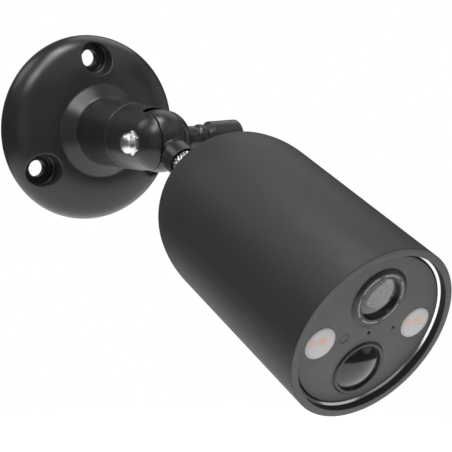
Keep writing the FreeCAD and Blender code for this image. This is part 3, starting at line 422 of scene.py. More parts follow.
class Look:
    """A material whose Principled surface is fed by patterns in the piece's own space."""

    def __init__(self, name, colour, roughness, **values):
        self.material = bpy.data.materials.new(name)
        self.material.use_nodes = True
        self.tree = self.material.node_tree
        self.surface = self.tree.nodes["Principled BSDF"]
        self.set(self.surface, {"Base Color": (*colour, 1.0), "Roughness": roughness})
        self.set(self.surface, {name.replace("_", " ").title(): value for name, value in values.items()})
        self.place = self.add("ShaderNodeTexCoord").outputs["Object"]

    def set(self, item, values):
        for key, value in values.items():
            socket = item.inputs[key.replace("Ior", "IOR")]
            if isinstance(value, bpy.types.NodeSocket):
                self.tree.links.new(value, socket)
            else:
                socket.default_value = value

    def add(self, kind, values=None, **options):
        item = self.tree.nodes.new(kind)
        for key, value in options.items():
            setattr(item, key, value)
        self.set(item, values or {})
        return item

    def feed(self, **sockets):
        """Links patterns to the surface's sockets."""
        self.set(self.surface, {name.replace("_", " ").title(): value for name, value in sockets.items()})
        return self

    def noise(self, size, detail=3.0, roughness=0.55, place=None):
        """Noise with features of about `size` millimetres."""
        values = {"Vector": place or self.place, "Scale": 1 / (size * MM), "Detail": detail,
                  "Roughness": roughness}
        return self.add("ShaderNodeTexNoise", values).outputs["Fac"]

    def cells(self, size):
        """Distance to the nearest point of a scatter with `size` millimetres between its points."""
        values = {"Vector": self.place, "Scale": 1 / (size * MM)}
        return self.add("ShaderNodeTexVoronoi", values).outputs["Distance"]

    def math(self, operation, first, second=0.0):
        item = self.add("ShaderNodeMath", operation=operation)
        self.set_indexed(item, first, second)
        return item.outputs[0]

    def set_indexed(self, item, *values):
        for socket, value in zip(item.inputs, values):
            if isinstance(value, bpy.types.NodeSocket):
                self.tree.links.new(value, socket)
            else:
                socket.default_value = value

    def spread(self, value, low, high, out_low=0.0, out_high=1.0):
        """Stretches a value's range from low..high to out_low..out_high."""
        item = self.add("ShaderNodeMapRange", interpolation_type="SMOOTHSTEP")
        self.set_indexed(item, value, low, high, out_low, out_high)
        return item.outputs[0]

    def blend(self, share, first, second):
        """A colour between two colours."""
        item = self.add("ShaderNodeMix", data_type="RGBA")
        self.set_indexed(item, share)
        for socket, colour in zip(item.inputs[6:8], (first, second)):
            if isinstance(colour, bpy.types.NodeSocket):
                self.tree.links.new(colour, socket)
            else:
                socket.default_value = (*colour, 1.0)
        return item.outputs[2]

    def bump(self, height, depth, under=None):
        """A bumped normal whose full height is `depth` millimetres."""
        item = self.add("ShaderNodeBump", {"Height": height, "Distance": depth * MM})
        if under:
            self.set(item, {"Normal": under})
        return item.outputs["Normal"]

    def parts(self):
        """The x, y and z of the piece's own space, in millimetres."""
        split = self.add("ShaderNodeSeparateXYZ", {"Vector": self.place})
        return [self.math("MULTIPLY", split.outputs[axis], 1 / MM) for axis in range(3)]

    def radius(self, x, y):
        return self.math("SQRT", self.math("ADD", self.math("MULTIPLY", x, x), self.math("MULTIPLY", y, y)))


def moulded(name, colour, roughness, grain=0.35, depth=0.02, variation=0.12, **values):
    """Moulded plastic: a fine spark-eroded grain, faint flow marks and slightly uneven gloss."""
    look = Look(name, colour, roughness, **values)
    flow = look.noise(9.0, detail=2.0)
    paler = [channel * (1 + variation) for channel in colour]
    darker = [channel * (1 - variation) for channel in colour]
    fine = look.noise(grain, detail=4.0, roughness=0.6)
    gloss = look.spread(look.noise(3.0, detail=5.0), 0.25, 0.75, roughness - 0.035, roughness + 0.035)
    look.feed(base_color=look.blend(flow, darker, paler), roughness=gloss,
              normal=look.bump(fine, depth, look.bump(look.noise(grain * 5), depth * 0.6)))
    return look.material


def housing_skin(name, colour, roughness):
    """Matt housing plastic whose front lip is painted the lighter panel grey, as painted light on the front
    face.
    """
    look = Look(name, colour, roughness, specular_ior_level=0.36)
    flow = look.noise(9.0, detail=2.0)
    side = look.blend(flow, [channel * 0.95 for channel in colour], [channel * 1.05 for channel in colour])
    # painted light: the lip's front face takes the panel's lighter grey to stand in for the light falling on
    # it
    lip = look.math("GREATER_THAN", look.parts()[2], FRONT - LIP_PAINTED_LIGHT)
    gloss = look.spread(look.noise(3.0, detail=5.0), 0.25, 0.75, roughness - 0.03, roughness + 0.03)
    look.feed(base_color=look.blend(lip, side, PANEL_GREY), roughness=gloss,
              normal=look.bump(look.noise(0.3, detail=4.0, roughness=0.6), 0.012,
                               look.bump(look.noise(1.5), 0.007)))
    return look.material


def powder_coat(name, colour, roughness):
    """Satin powder coat on a casting: a soft orange peel, with edges painted paler as a painted highlight."""
    look = Look(name, colour, roughness, specular_ior_level=0.5)
    # painted highlight: sharp edges, found by pointiness and broken up by noise, are painted paler where
    # light catches them
    edge = look.spread(look.add("ShaderNodeNewGeometry").outputs["Pointiness"], 0.5, 0.62)
    painted_edge_highlight = look.math("MULTIPLY", edge, look.spread(look.noise(1.2), 0.35, 0.7))
    flow = look.noise(7.0)
    base = look.blend(flow, [channel * 0.9 for channel in colour], [channel * 1.12 for channel in colour])
    peel = look.noise(1.1, detail=2.0)
    gloss = look.spread(look.noise(2.5, detail=4.0), 0.25, 0.75, roughness - 0.015, roughness + 0.015)
    look.feed(base_color=look.blend(painted_edge_highlight, base, [channel * 2.2 for channel in colour]), roughness=gloss,
              normal=look.bump(look.noise(0.3, detail=3.0), 0.003, look.bump(peel, 0.004)))
    return look.material


def plated(name, colour, roughness, scratch=0.004):
    """Plated metal with fine handling scratches and slight staining."""
    look = Look(name, colour, roughness, metallic=1.0)
    stretched = look.add("ShaderNodeMapping", {"Vector": look.place, "Scale": (1.0, 8.0, 1.0)}).outputs[0]
    lines = look.noise(0.5, detail=5.0, roughness=0.7, place=stretched)
    stain = look.noise(4.0)
    look.feed(base_color=look.blend(stain, [channel * 0.92 for channel in colour], colour),
              roughness=look.spread(lines, 0.3, 0.7, roughness * 0.7, roughness * 1.35),
              normal=look.bump(lines, scratch))
    return look.material


def printed_bezel(name, colour, roughness):
    """The black lens bezel, with a ring of pale printed graduation marks round the lens."""
    look = Look(name, colour, roughness)
    x, y, _ = look.parts()
    radius = look.radius(x, y)
    turn = look.math("ARCTAN2", y, x)
    from_print = look.math("ABSOLUTE", look.math("SUBTRACT", radius, BEZEL_PRINT))
    band = look.math("LESS_THAN", from_print, PRINT_HALF)
    ticks = look.math("GREATER_THAN", look.math("SINE", look.math("MULTIPLY", turn, PRINT_MARKS)), 0.1)
    groups = look.math("GREATER_THAN", look.math("SINE", look.math("MULTIPLY", turn, PRINT_GROUPS)), -0.8)
    ink = look.math("MULTIPLY", band, look.math("MULTIPLY", ticks, groups))
    darker, paler = [channel * 0.85 for channel in colour], [channel * 1.15 for channel in colour]
    uneven = look.blend(look.noise(2.0), darker, paler)
    look.feed(base_color=look.blend(ink, uneven, (0.7, 0.7, 0.7)),
              roughness=look.spread(look.noise(0.8), 0.3, 0.7, roughness - 0.04, roughness + 0.06),
              normal=look.bump(look.noise(0.3), 0.006))
    return look.material


def lens_coating(name):
    """Clear coated glass with faint dust on it."""
    look = Look(name, (0.9, 0.92, 0.95), 0.03, ior=1.6, transmission_weight=1.0, coat_weight=0.4,
                coat_roughness=0.03)
    dust = look.spread(look.cells(0.8), 0.02, 0.1, 0.08, 0.03)
    look.feed(roughness=dust)
    return look.material


def inner_lens(name):
    """The dark inner lens, with a pink painted reflection of its coating at its middle, fading to nearly
    black at its rim.
    """
    look = Look(name, (0.02, 0.02, 0.025), 0.05, coat_weight=1.0, coat_roughness=0.03)
    x, y, _ = look.parts()
    # painted reflection: pink at the middle where the coating's glint shows, fading to nearly black towards
    # the rim
    out = look.spread(look.radius(x, y), 0.3, 1.9)
    look.feed(base_color=look.blend(out, (0.75, 0.3, 0.36), (0.03, 0.04, 0.045)),
              roughness=look.spread(look.noise(0.7), 0.3, 0.7, 0.04, 0.09))
    return look.material


def diffuser(name):
    """The milky spotlight window: two warm chips show through its face, and its rim is a greyer band."""
    look = Look(name, (0.72, 0.7, 0.68), 0.3, subsurface_weight=0.15, coat_weight=0.4, coat_roughness=0.12)
    look.surface.inputs["Subsurface Radius"].default_value = (0.0012, 0.0009, 0.0007)
    x, y, _ = look.parts()
    up = look.math("SUBTRACT", y, CHIP_RAISE)
    spots = [look.spread(look.radius(look.math("SUBTRACT", x, shift), up), 0.2, 2.0, 1.0, 0.0)
             for shift in (CHIP_MIDDLE - CHIP_SHIFT, CHIP_MIDDLE + CHIP_SHIFT)]
    warm = look.math("MAXIMUM", *spots)
    rim = look.spread(look.radius(x, y), LIGHT_RADIUS - 1.1, LIGHT_RADIUS - 0.7)
    cloud = look.blend(look.noise(4.0, detail=1.0), (0.62, 0.6, 0.585), (0.67, 0.65, 0.64))
    face = look.blend(look.math("MULTIPLY", warm, 0.75), cloud, (0.9, 0.42, 0.22))
    look.feed(base_color=look.blend(rim, face, (0.56, 0.545, 0.53)),
              roughness=look.spread(look.noise(0.6), 0.3, 0.7, 0.27, 0.33),
              normal=look.bump(look.cells(0.5), 0.0015))
    return look.material


def infrared_dome(name):
    """Dark infrared-clear plastic with the facets of its inner face showing faintly."""
    look = Look(name, (0.012, 0.012, 0.013), 0.12, coat_weight=0.5, coat_roughness=0.06)
    facets = look.add("ShaderNodeTexVoronoi", {"Vector": look.place, "Scale": 1 / (2.6 * MM)},
                      feature="DISTANCE_TO_EDGE").outputs["Distance"]
    line = look.spread(facets, 0.0, 0.05, 0.0, 1.0)
    look.feed(base_color=look.blend(line, (0.02, 0.02, 0.021), (0.01, 0.01, 0.011)),
              roughness=look.spread(look.noise(1.0), 0.3, 0.7, 0.1, 0.2))
    return look.material


def solder_mask(name):
    """A circuit board: green solder mask over copper tracks."""
    look = Look(name, (0.02, 0.12, 0.05), 0.35, coat_weight=0.4)
    tracks = look.add("ShaderNodeTexVoronoi", {"Vector": look.place, "Scale": 1 / (1.4 * MM)},
                      feature="DISTANCE_TO_EDGE", distance="MANHATTAN").outputs["Distance"]
    copper = look.spread(tracks, 0.08, 0.1, 1.0, 0.0)
    look.feed(base_color=look.blend(copper, (0.012, 0.075, 0.03), (0.03, 0.17, 0.06)),
              roughness=look.spread(look.noise(0.5), 0.3, 0.7, 0.28, 0.42), normal=look.bump(copper, 0.03))
    return look.material


LOOKS = {
    "bracket_coat": powder_coat("satin_black_coat", (0.02, 0.02, 0.021), 0.3),
    "knob_plastic": moulded("satin_knob_plastic", (0.022, 0.022, 0.023), 0.3, grain=0.4, depth=0.01),
    "steel": plated("zinc_steel", (0.56, 0.56, 0.57), 0.32),
    "polished_steel": plated("bright_nickel", (0.8, 0.79, 0.77), 0.3, scratch=0.001),
    "brass": plated("machined_brass", (0.72, 0.52, 0.25), 0.28),
    "housing_plastic": housing_skin("matt_housing_plastic", (0.033, 0.033, 0.034), 0.52),
    "panel_plastic": moulded("grey_panel_plastic", PANEL_GREY, 0.58, grain=0.3, depth=0.012),
    "trim_silver": plated("trim_silver", (0.78, 0.78, 0.79), 0.16),
    "seal_rubber": moulded("seal_rubber", (0.015, 0.015, 0.015), 0.7, grain=0.5),
    "flap_rubber": moulded("flap_rubber", (0.03, 0.03, 0.031), 0.6, grain=0.4, depth=0.03),
    "bezel_plastic": printed_bezel("printed_bezel_plastic", (0.02, 0.02, 0.021), 0.3),
    "optical_glass": lens_coating("coated_glass"),
    "motion_plastic": infrared_dome("infrared_plastic"),
    "light_plastic": diffuser("milky_diffuser"),
    "tinted_plastic": moulded("tinted_plastic", (0.035, 0.035, 0.04), 0.15, grain=0.8, depth=0.004),
    "circuit_board": solder_mask("circuit_board"),
    "chip_black": moulded("chip_black", (0.02, 0.02, 0.02), 0.45),
    "phosphor": moulded("yellow_phosphor", (0.85, 0.5, 0.1), 0.6, grain=0.2),
    "metal_can": plated("tinned_steel", (0.6, 0.6, 0.6), 0.35),
    "frame_plastic": moulded("frame_plastic", (0.06, 0.06, 0.06), 0.55),
    "cell_wrap": moulded("cell_wrap", (0.05, 0.18, 0.45), 0.3, grain=1.2),
    "antenna_film": moulded("antenna_film", (0.35, 0.18, 0.06), 0.4),
    "speaker_frame": moulded("speaker_frame", (0.05, 0.05, 0.05), 0.5),
    "button_plastic": moulded("button_plastic", (0.07, 0.07, 0.07), 0.45),
}


# ---------------------------------------------------------------- wall bracket


def wall_plate():
    rim_end = (PLATE_RADIUS - RIM_RADIUS * (1 - math.cos(RIM_TURN)), RIM_RADIUS * math.sin(RIM_TURN))
    bore, bore_floor, screw_bore = STEM_RADIUS + 0.05, 14.0, 2.6
    hub_hollow, hub_depth, hub_outside = 8.6, 10.0, 11.4
    core_radius, core_depth = 18.6, 9.0
    pocket_pitch, pocket_radius, pocket_depth = 26.0, 5.6, 6.0
    body = turned_distance(outline([
        (PLATE_RADIUS, 0), rim_end, (BOSS_RADIUS, BOSS_BASE, 0.5), (NECK_ROOT, NECK_START, 1.2),
        (NECK_TIP, NECK_END, 0.45), (bore, NECK_END, 0.2), (bore, bore_floor), (screw_bore, bore_floor),
        (screw_bore, hub_depth), (hub_hollow, hub_depth), (hub_hollow, 0, 0.3), (hub_outside, 0, 0.3),
        (hub_outside, core_depth), (core_radius, core_depth), (core_radius, 0, 0.3),
    ], {0: (RIM_RADIUS, 1), 1: (CROWN_ARC, 1)}), through_axis=False)
    turns = [math.radians(angle) for angle in (90, 210, 330)]
    taper = (COUNTERBORE_MOUTH - COUNTERBORE_ROOT) / (COUNTERBORE_TOP - COUNTERBORE_FLOOR)

    def distance(x, y, z):
        solid = body(length(x, y), z)
        for turn in turns:
            out = length(x - SCREW_PITCH * math.cos(turn), y - SCREW_PITCH * math.sin(turn))
            wide = both(out - COUNTERBORE_ROOT - (z - COUNTERBORE_FLOOR) * taper, COUNTERBORE_STEP - z, 0.15)
            narrow = both(out - COUNTERBORE_ROOT + 0.4, COUNTERBORE_FLOOR - z, 0.3)
            solid = without(without(solid, wide, 0.25), narrow, 0.15)
            solid = without(solid, out - SCREW_HOLE, 0.25)
            across = length(x + pocket_pitch * math.cos(turn), y + pocket_pitch * math.sin(turn))
            solid = without(solid, both(across - pocket_radius, z - pocket_depth, 0.3), 0.3)
        return solid

    mesh = skin("wall_plate", distance, (-PLATE_RADIUS, -PLATE_RADIUS, 0),
                (PLATE_RADIUS, PLATE_RADIUS, NECK_END), 0.4)
    finished("plate_casting", mesh, WALL_FRAME, "base", LOOKS["bracket_coat"], ["wall_plate"])


def swivel_fork():
    body = turned_distance(outline([
        (0, STEM_START), (STEM_RADIUS, STEM_START, 0.4), (STEM_RADIUS, FORK_START),
        (NECK_TIP, FORK_START, 0.45), (BALL_RADIUS, PIVOT_REACH), (0, PIVOT_REACH + BALL_RADIUS),
    ], {4: (BALL_RADIUS, 1)}), through_axis=True)

    def distance(x, y, z):
        ahead = z - PIVOT_REACH
        sweep = np.minimum(length(x, y, ahead) - SLOT_SWEEP, -ahead)
        solid = without(body(length(x, y), z), both(np.abs(x) - SLOT_HALF, sweep, 1.0), 0.25)
        solid = without(solid, length(y, ahead) - CLAMP_RADIUS - CLAMP_PLAY, 0.2)
        solid = without(solid, both(length(y, ahead) - EAR_SEAT, EAR_FLAT - x, 0.1), 0.35)
        lean = math.radians(60)
        hexagon = np.maximum(np.abs(ahead), np.abs(ahead) * math.cos(lean) + np.abs(y) * math.sin(lean))
        return without(solid, both(hexagon - NUT_FLATS / 2 - 0.06, x + NUT_SEAT, 0.1), 0.25)

    mesh = skin("swivel_fork", distance, (-12, -12, STEM_START), (12, 12, PIVOT_REACH + BALL_RADIUS), 0.27)
    finished("fork_casting", mesh, WALL_FRAME, "fork", LOOKS["bracket_coat"], ["swivel_fork"])


def cap_nut():
    dome_radius = cap_radius(NUT_CROWN, NUT_RISE)

    def distance(x, y, z):
        out = -z
        lean = math.radians(30)
        flats = np.maximum(np.abs(y), np.abs(x) * math.cos(lean) + np.abs(y) * math.sin(lean)) - NUT_FLATS / 2
        chamfer = (length(x, y) - NUT_FLATS / 2) * math.sin(lean) + (out - NUT_FACE) * math.cos(lean)
        slab = np.maximum(out - NUT_FACE, NUT_SEAT + 0.05 - out)
        hexagon = both(both(flats, slab, 0.1), chamfer, 0.1)
        cap = length(x, y, out - NUT_SHOULDER - NUT_RISE + dome_radius) - dome_radius
        crown = both(both(length(x, y) - NUT_CROWN, NUT_SEAT + 1 - out, 0.1), cap, 0.35)
        solid = either(hexagon, crown, 0.12)
        bore = np.maximum(length(x, y) - CLAMP_RADIUS - CLAMP_PLAY, out - NUT_FACE - 0.6)
        return without(solid, bore, 0.1)

    tip = NUT_SHOULDER + NUT_RISE
    mesh = skin("cap_nut", distance, (-5, -5, -tip), (5, 5, -NUT_SEAT), 0.13)
    finished("acorn_nut", mesh, CLAMP_FRAME, "fork", LOOKS["polished_steel"], ["cap_nut"])


def thumb_knob():
    bead = cap_radius((BEAD_END - BEAD_START) / 2, KNOB_BEAD - KNOB_WAIST)
    flare_start = BEAD_END + 0.3
    mesh = lathe("thumb_knob", outline([
        (CLAMP_RADIUS, EAR_FLAT + 0.1), (KNOB_STEM, EAR_FLAT + 0.1, 0.25), (KNOB_STEM, KNOB_STEM_END, 0.6),
        (KNOB_WAIST, BEAD_START, 0.3), (KNOB_WAIST, BEAD_END, 0.08), (KNOB_WAIST, flare_start, 0.08),
        (GRIP_RADIUS - 0.3, GRIP_START, 0.25), (GRIP_RADIUS, GRIP_START + 0.3, 0.15),
        (GRIP_RADIUS, GRIP_END - 0.5, 0.4), (GRIP_RADIUS - 0.5, GRIP_END, 0.3), (0, GRIP_END),
        (0, GRIP_END - 3), (CLAMP_RADIUS, GRIP_END - 3),
    ], {3: (bead, 1)}), segments=128)
    finished("wing_knob", mesh, CLAMP_FRAME, "clamp", LOOKS["knob_plastic"], ["thumb_knob"])


def tilt_knuckle():
    def distance(x, y, z):
        ball = both(length(x, y, z) - KNUCKLE_RADIUS, np.abs(x) - KNUCKLE_HALF, 0.2)
        around = length(x, y)
        web = both(both(around - STUB_RADIUS + WEB_STEP, np.abs(x) - KNUCKLE_HALF, 0.2),
                   np.maximum(-z, z - STUB_START - 1), 0.1)
        stub = both(around - STUB_RADIUS, np.maximum(STUB_START - z, z - STUB_END), 0.15)
        solid = either(either(ball, web, 0.25), stub, 0.12)
        solid = without(solid, length(y, z) - CLAMP_RADIUS - CLAMP_PLAY, 0.2)
        solid = without(solid, np.maximum(around - STUD_RADIUS, 5.0 - z), 0.1)
        return without(solid, np.maximum(around - COLLAR_POCKET, COLLAR_POCKET_FLOOR - z), 0.12)

    mesh = skin("tilt_knuckle", distance, (-6, -11, -11), (6, 11, STUB_END), 0.2)
    finished("knuckle_casting", mesh, CAMERA_FRAME, "knuckle", LOOKS["bracket_coat"],
             ["tilt_knuckle"])


def knurled_collar():
    """A steel collar whose surface is cut into small four-sided points by two crossing helices."""
    rows, columns = 120, 352
    points_round, pitch, cut, chamfer = 22, 1.15, 0.34, 0.35
    low, high = COLLAR_START, REAR_GAP - 0.1

    def ridge(phase):
        return abs(2 * (phase - math.floor(phase)) - 1)

    bm = bmesh.new()
    rings = []
    for row in range(rows + 1):
        ahead = low + (high - low) * row / rows
        ends = min(ahead - low, high - ahead)
        ring = []
        for column in range(columns):
            share = column / columns
            first = ridge(points_round * share + (ahead - low) / pitch / 2)
            second = ridge(points_round * share - (ahead - low) / pitch / 2)
            radius = COLLAR_RADIUS - cut * (1 - min(first, second)) - max(chamfer - ends, 0)
            turn = 2 * math.pi * share
            ring.append(bm.verts.new((radius * math.cos(turn), radius * math.sin(turn), ahead)))
        rings.append(ring)
    for radius, ahead in ((STUD_RADIUS + 0.06, high), (STUD_RADIUS + 0.06, low)):
        rings.append([bm.verts.new((radius * math.cos(2 * math.pi * column / columns),
                                    radius * math.sin(2 * math.pi * column / columns), ahead))
                      for column in range(columns)])
    for ring, following in zip(rings, rings[1:] + rings[:1]):
        for column in range(columns):
            after = (column + 1) % columns
            bm.faces.new([ring[column], ring[after], following[after], following[column]])
    bmesh.ops.recalc_face_normals(bm, faces=bm.faces)
    mesh = bpy.data.meshes.new("knurled_collar")
    bm.to_mesh(mesh)
    bm.free()
    finished("collar_knurled", shade(mesh, math.radians(50)), CAMERA_FRAME, "collar",
             LOOKS["polished_steel"], ["knurled_collar"])


# ---------------------------------------------------------------- camera housing


def dome_corners(inset, crown_end):
    """The rear dome's corners from its crown to the cylinder, inside the skin by inset."""
    knee_x = BODY_RADIUS - FLANK_RADIUS + (FLANK_RADIUS - SHOULDER_RADIUS) * math.cos(FLANK_TURN)
    knee_z = DOME_DEPTH - (FLANK_RADIUS - SHOULDER_RADIUS) * math.sin(FLANK_TURN)
    crown = CROWN_RADIUS - math.sqrt((CROWN_RADIUS - inset) ** 2 - crown_end ** 2)
    shoulder, flank = SHOULDER_RADIUS - inset, FLANK_RADIUS - inset
    corners = [
        (crown_end, crown),
        (knee_x + shoulder * math.cos(SHOULDER_TURN), knee_z - shoulder * math.sin(SHOULDER_TURN)),
        (BODY_RADIUS - FLANK_RADIUS + flank * math.cos(FLANK_TURN),
         DOME_DEPTH - flank * math.sin(FLANK_TURN)),
        (BODY_RADIUS - inset, DOME_DEPTH),
    ]
    return [(radius, REAR_GAP + ahead) for radius, ahead in corners]


def downward(mesh):
    """Turns a mesh drawn in the (x, forward) plane so that its height points down from the camera's axis."""
    return moved(mesh, turn=Matrix.Rotation(math.radians(90), 4, "X"))


def rounded_rectangle(half_width, low, high, radius):
    return outline([(-half_width, low, radius), (half_width, low, radius), (half_width, high, radius),
                    (-half_width, high, radius)])


def ring_points(radius, count, x=0.0, y=0.0):
    turns = [2 * math.pi * step / count for step in range(count)]
    return [(x + radius * math.cos(turn), y + radius * math.sin(turn)) for turn in turns]


def grille_cutters():
    centre = REAR_GAP + SPEAKER_POSITION
    inner, outer = ring_points(GRILLE_RING, 6, 0, centre), ring_points(2 * GRILLE_RING, 12, 0, centre)
    places = [(0, centre)] + inner + outer
    return [downward(prism("grille_hole", ring_points(GRILLE_HOLE, 20, x, ahead), *CUT_DEPTHS))
            for x, ahead in places]


def main_housing():
    insert_boss, insert_bore, boss_end = 8.0, 5.0, REAR_GAP + 12.4
    inner = dome_corners(WALL, insert_boss)
    shelf = PANEL_BACK - 0.8
    corners = dome_corners(0, insert_bore) + [
        (BODY_RADIUS, FRONT, 0.35), (BODY_RADIUS - LIP_WIDTH, FRONT, 0.2), (BODY_RADIUS - LIP_WIDTH, shelf),
        (BODY_RADIUS - WALL, shelf),
    ] + inner[::-1] + [(insert_boss, boss_end), (insert_bore, boss_end)]
    arcs = {0: (CROWN_RADIUS, 1), 1: (SHOULDER_RADIUS, 1), 2: (FLANK_RADIUS, 1), 8: (FLANK_RADIUS - WALL, -1),
            9: (SHOULDER_RADIUS - WALL, -1), 10: (CROWN_RADIUS - WALL, -1)}
    shell = lathe("main_housing", outline(corners, arcs), segments=256)
    mouth = rounded_rectangle(PORT_HALF, REAR_GAP + PORT_START, REAR_GAP + PORT_END, 1.0)
    opening = downward(prism("opening", mouth, *CUT_DEPTHS))
    mesh = carve(shell, [opening] + grille_cutters())
    finished("housing_shell", mesh, CAMERA_FRAME, "camera", LOOKS["housing_plastic"],
             ["main_housing"])


def port_flap():
    low, high = REAR_GAP + PORT_START + FLAP_GAP, REAR_GAP + PORT_END - FLAP_SWING_GAP
    middle, half = (low + high) / 2, (high - low) / 2
    corner = 0.9

    def distance(x, y, z):
        side = np.abs(x) - (PORT_HALF - FLAP_GAP)
        border = both(side, np.abs(z - middle) - half, corner)
        out = length(x, y)
        sheet = np.maximum(np.maximum(out - BODY_RADIUS, BODY_RADIUS - FLAP_THICKNESS - out), y)
        return both(border, sheet, 0.25)

    mesh = skin("port_flap", distance, (-PORT_HALF, -BODY_RADIUS, low), (PORT_HALF, -23.0, high), 0.25)
    finished("charging_flap", mesh, CAMERA_FRAME, "flap", LOOKS["flap_rubber"], ["port_flap"])


# ---------------------------------------------------------------- front panel


def hole_cutter(radius, x, up, flare):
    """Cuts a round hole with a rounded rim through the panel."""
    corners = [(0, PANEL_BACK - 1), (radius, PANEL_BACK - 1), (radius, FACE - flare), (radius + flare, FACE),
               (radius + flare, FACE + 1), (0, FACE + 1)]
    return moved(lathe("hole", outline(corners, {2: (flare, -1)}, 6), segments=96), x, up)


def front_panel():
    disc = lathe("front_panel", outline([
        (0, PANEL_BACK), (PANEL_RADIUS, PANEL_BACK, 0.2), (PANEL_RADIUS, FACE, 0.25), (0, FACE),
    ]), segments=192)
    mesh = carve(disc, [
        hole_cutter(LENS_HOLE, 0, LENS_HEIGHT, 0.15), hole_cutter(MOTION_HOLE, 0, MOTION_HEIGHT, 0.15),
        hole_cutter(LIGHT_RADIUS + 0.06, -LIGHT_OFFSET, LIGHT_HEIGHT, 0.15),
        hole_cutter(LIGHT_RADIUS + 0.06, LIGHT_OFFSET, LIGHT_HEIGHT, 0.15),
        hole_cutter(SENSOR_RADIUS + 0.05, -SENSOR_OFFSET, SENSOR_HEIGHT, 0.1),
        hole_cutter(PINHOLE, SENSOR_OFFSET, SENSOR_HEIGHT, 0.1), hole_cutter(PINHOLE, 0, SENSOR_HEIGHT, 0.1),
    ])
    finished("panel_disc", mesh, CAMERA_FRAME, "camera", LOOKS["panel_plastic"],
             ["front_panel"])

    ring = lathe("trim_ring", outline([
        (RING_INNER, PANEL_BACK), (RING_OUTER, PANEL_BACK), (RING_OUTER, FACE + RING_RISE, 0.06),
        (RING_INNER, FACE - RING_RISE, 0.06),
    ]), segments=256)
    finished("silver_trim", ring, CAMERA_FRAME, "camera", LOOKS["trim_silver"], ["trim_ring"])


def on_panel(name, corners, x, up, slot, node, arcs=None, look=None, segments=160):
    """A turned piece on its own axis in the front panel."""
    mesh = lathe(name, outline(corners, arcs), segments)
    return finished(name, mesh, shifted(CAMERA_FRAME, x, up), "camera", look or LOOKS[slot], [node])


def lens():
    rim = FACE - GLASS_DEPTH
    on_panel("lens_surround", [
        (GLASS_RADIUS + 0.05, PANEL_BACK - 0.6), (LENS_HOLE - 0.05, PANEL_BACK - 0.6),
        (LENS_HOLE - 0.05, FACE), (BEZEL_RADIUS, FACE), (BEZEL_RADIUS, FACE + 0.15, 0.07),
        (BEZEL_FLAT, FACE + BEZEL_RISE, 0.35),
        (BEZEL_INNER, FACE + BEZEL_RISE, 0.12), (GLASS_RADIUS + 0.05, rim, 0.1),
    ], 0, LENS_HEIGHT, "bezel_plastic", "lens_bezel")
    on_panel("front_glass", [
        (0, rim - 1.2), (GLASS_RADIUS, rim - 1.2, 0.1), (GLASS_RADIUS, rim, 0.08), (0, rim + GLASS_CROWN),
    ], 0, LENS_HEIGHT, "optical_glass", "lens_glass", {2: (cap_radius(GLASS_RADIUS, GLASS_CROWN), 1)})
    front = rim - 1.25
    steps = [(4.9, 4.5, 0.0), (4.1, 3.7, 0.8), (3.2, 2.8, 1.6)]
    rings = [(GLASS_RADIUS, front, 0.1)]
    for outer, inner, depth in steps:
        rings += [(outer, front - depth, 0.08), (inner, front - depth - 0.8, 0.08)]
    on_panel("lens_tube", [
        (1.6, REAR_GAP + 70), (5.9, REAR_GAP + 70), (5.9, PANEL_BACK - 0.7), (GLASS_RADIUS, PANEL_BACK - 0.7),
    ] + rings + [(2.55, front - 2.4, 0.05), (2.55, front - 4.8), (1.6, front - 4.8)],
        0, LENS_HEIGHT, "bezel_plastic", "lens_barrel", look=BARREL)
    on_panel("inner_lens", [
        (0, front - 4.7), (2.5, front - 4.7), (2.5, front - 3.6), (0, front - 2.9),
    ], 0, LENS_HEIGHT, "optical_glass", "lens_element", {2: (cap_radius(2.5, 0.7), 1)}, look=INNER_LENS)


BARREL = moulded("ribbed_barrel_plastic", (0.05, 0.05, 0.052), 0.4, grain=0.25, depth=0.004)
INNER_LENS = inner_lens("inner_lens_painted_glint")
MOTION_BEZEL = moulded("motion_ring_plastic", (0.022, 0.022, 0.023), 0.25, grain=0.3, depth=0.004)


def motion_window():
    on_panel("motion_surround", [
        (MOTION_DOME + 0.05, PANEL_BACK - 0.5), (MOTION_HOLE - 0.05, PANEL_BACK - 0.5),
        (MOTION_HOLE - 0.05, FACE), (MOTION_RING, FACE), (MOTION_RING, FACE + 0.15, 0.07),
        (MOTION_RING - 0.45, FACE + 0.55, 0.2), (MOTION_DOME + 0.35, FACE + 0.55, 0.15),
        (MOTION_DOME + 0.05, FACE + 0.2),
    ], 0, MOTION_HEIGHT, "bezel_plastic", "motion_ring", look=MOTION_BEZEL)
    hollow, hollow_rise = MOTION_DOME - 0.8, MOTION_RISE - 0.75
    on_panel("motion_dome", [
        (0, FACE + hollow_rise), (hollow, FACE), (hollow, PANEL_BACK - 0.5), (MOTION_DOME, PANEL_BACK - 0.5),
        (MOTION_DOME, FACE), (0, FACE + MOTION_RISE),
    ], 0, MOTION_HEIGHT, "motion_plastic", "motion_lens",
        {0: (cap_radius(hollow, hollow_rise), -1), 4: (cap_radius(MOTION_DOME, MOTION_RISE), 1)})


def spotlight(side, sign):
    window_back = PANEL_BACK - 0.7
    on_panel("spotlight_" + side, [
        (4.1, window_back), (5.4, window_back), (5.4, PANEL_BACK), (LIGHT_RADIUS, PANEL_BACK),
        (LIGHT_RADIUS, FACE + 0.05, 0.05), (LIGHT_RADIUS - 0.25, FACE + 0.25, 0.1), (0, FACE + LIGHT_RISE),
        (0, FACE - 1.2), (4.1, FACE - 1.2),
    ], sign * LIGHT_OFFSET, LIGHT_HEIGHT, "light_plastic", "light_window_" + side,
        {5: (cap_radius(LIGHT_RADIUS - 0.25, LIGHT_RISE - 0.25), 1)})


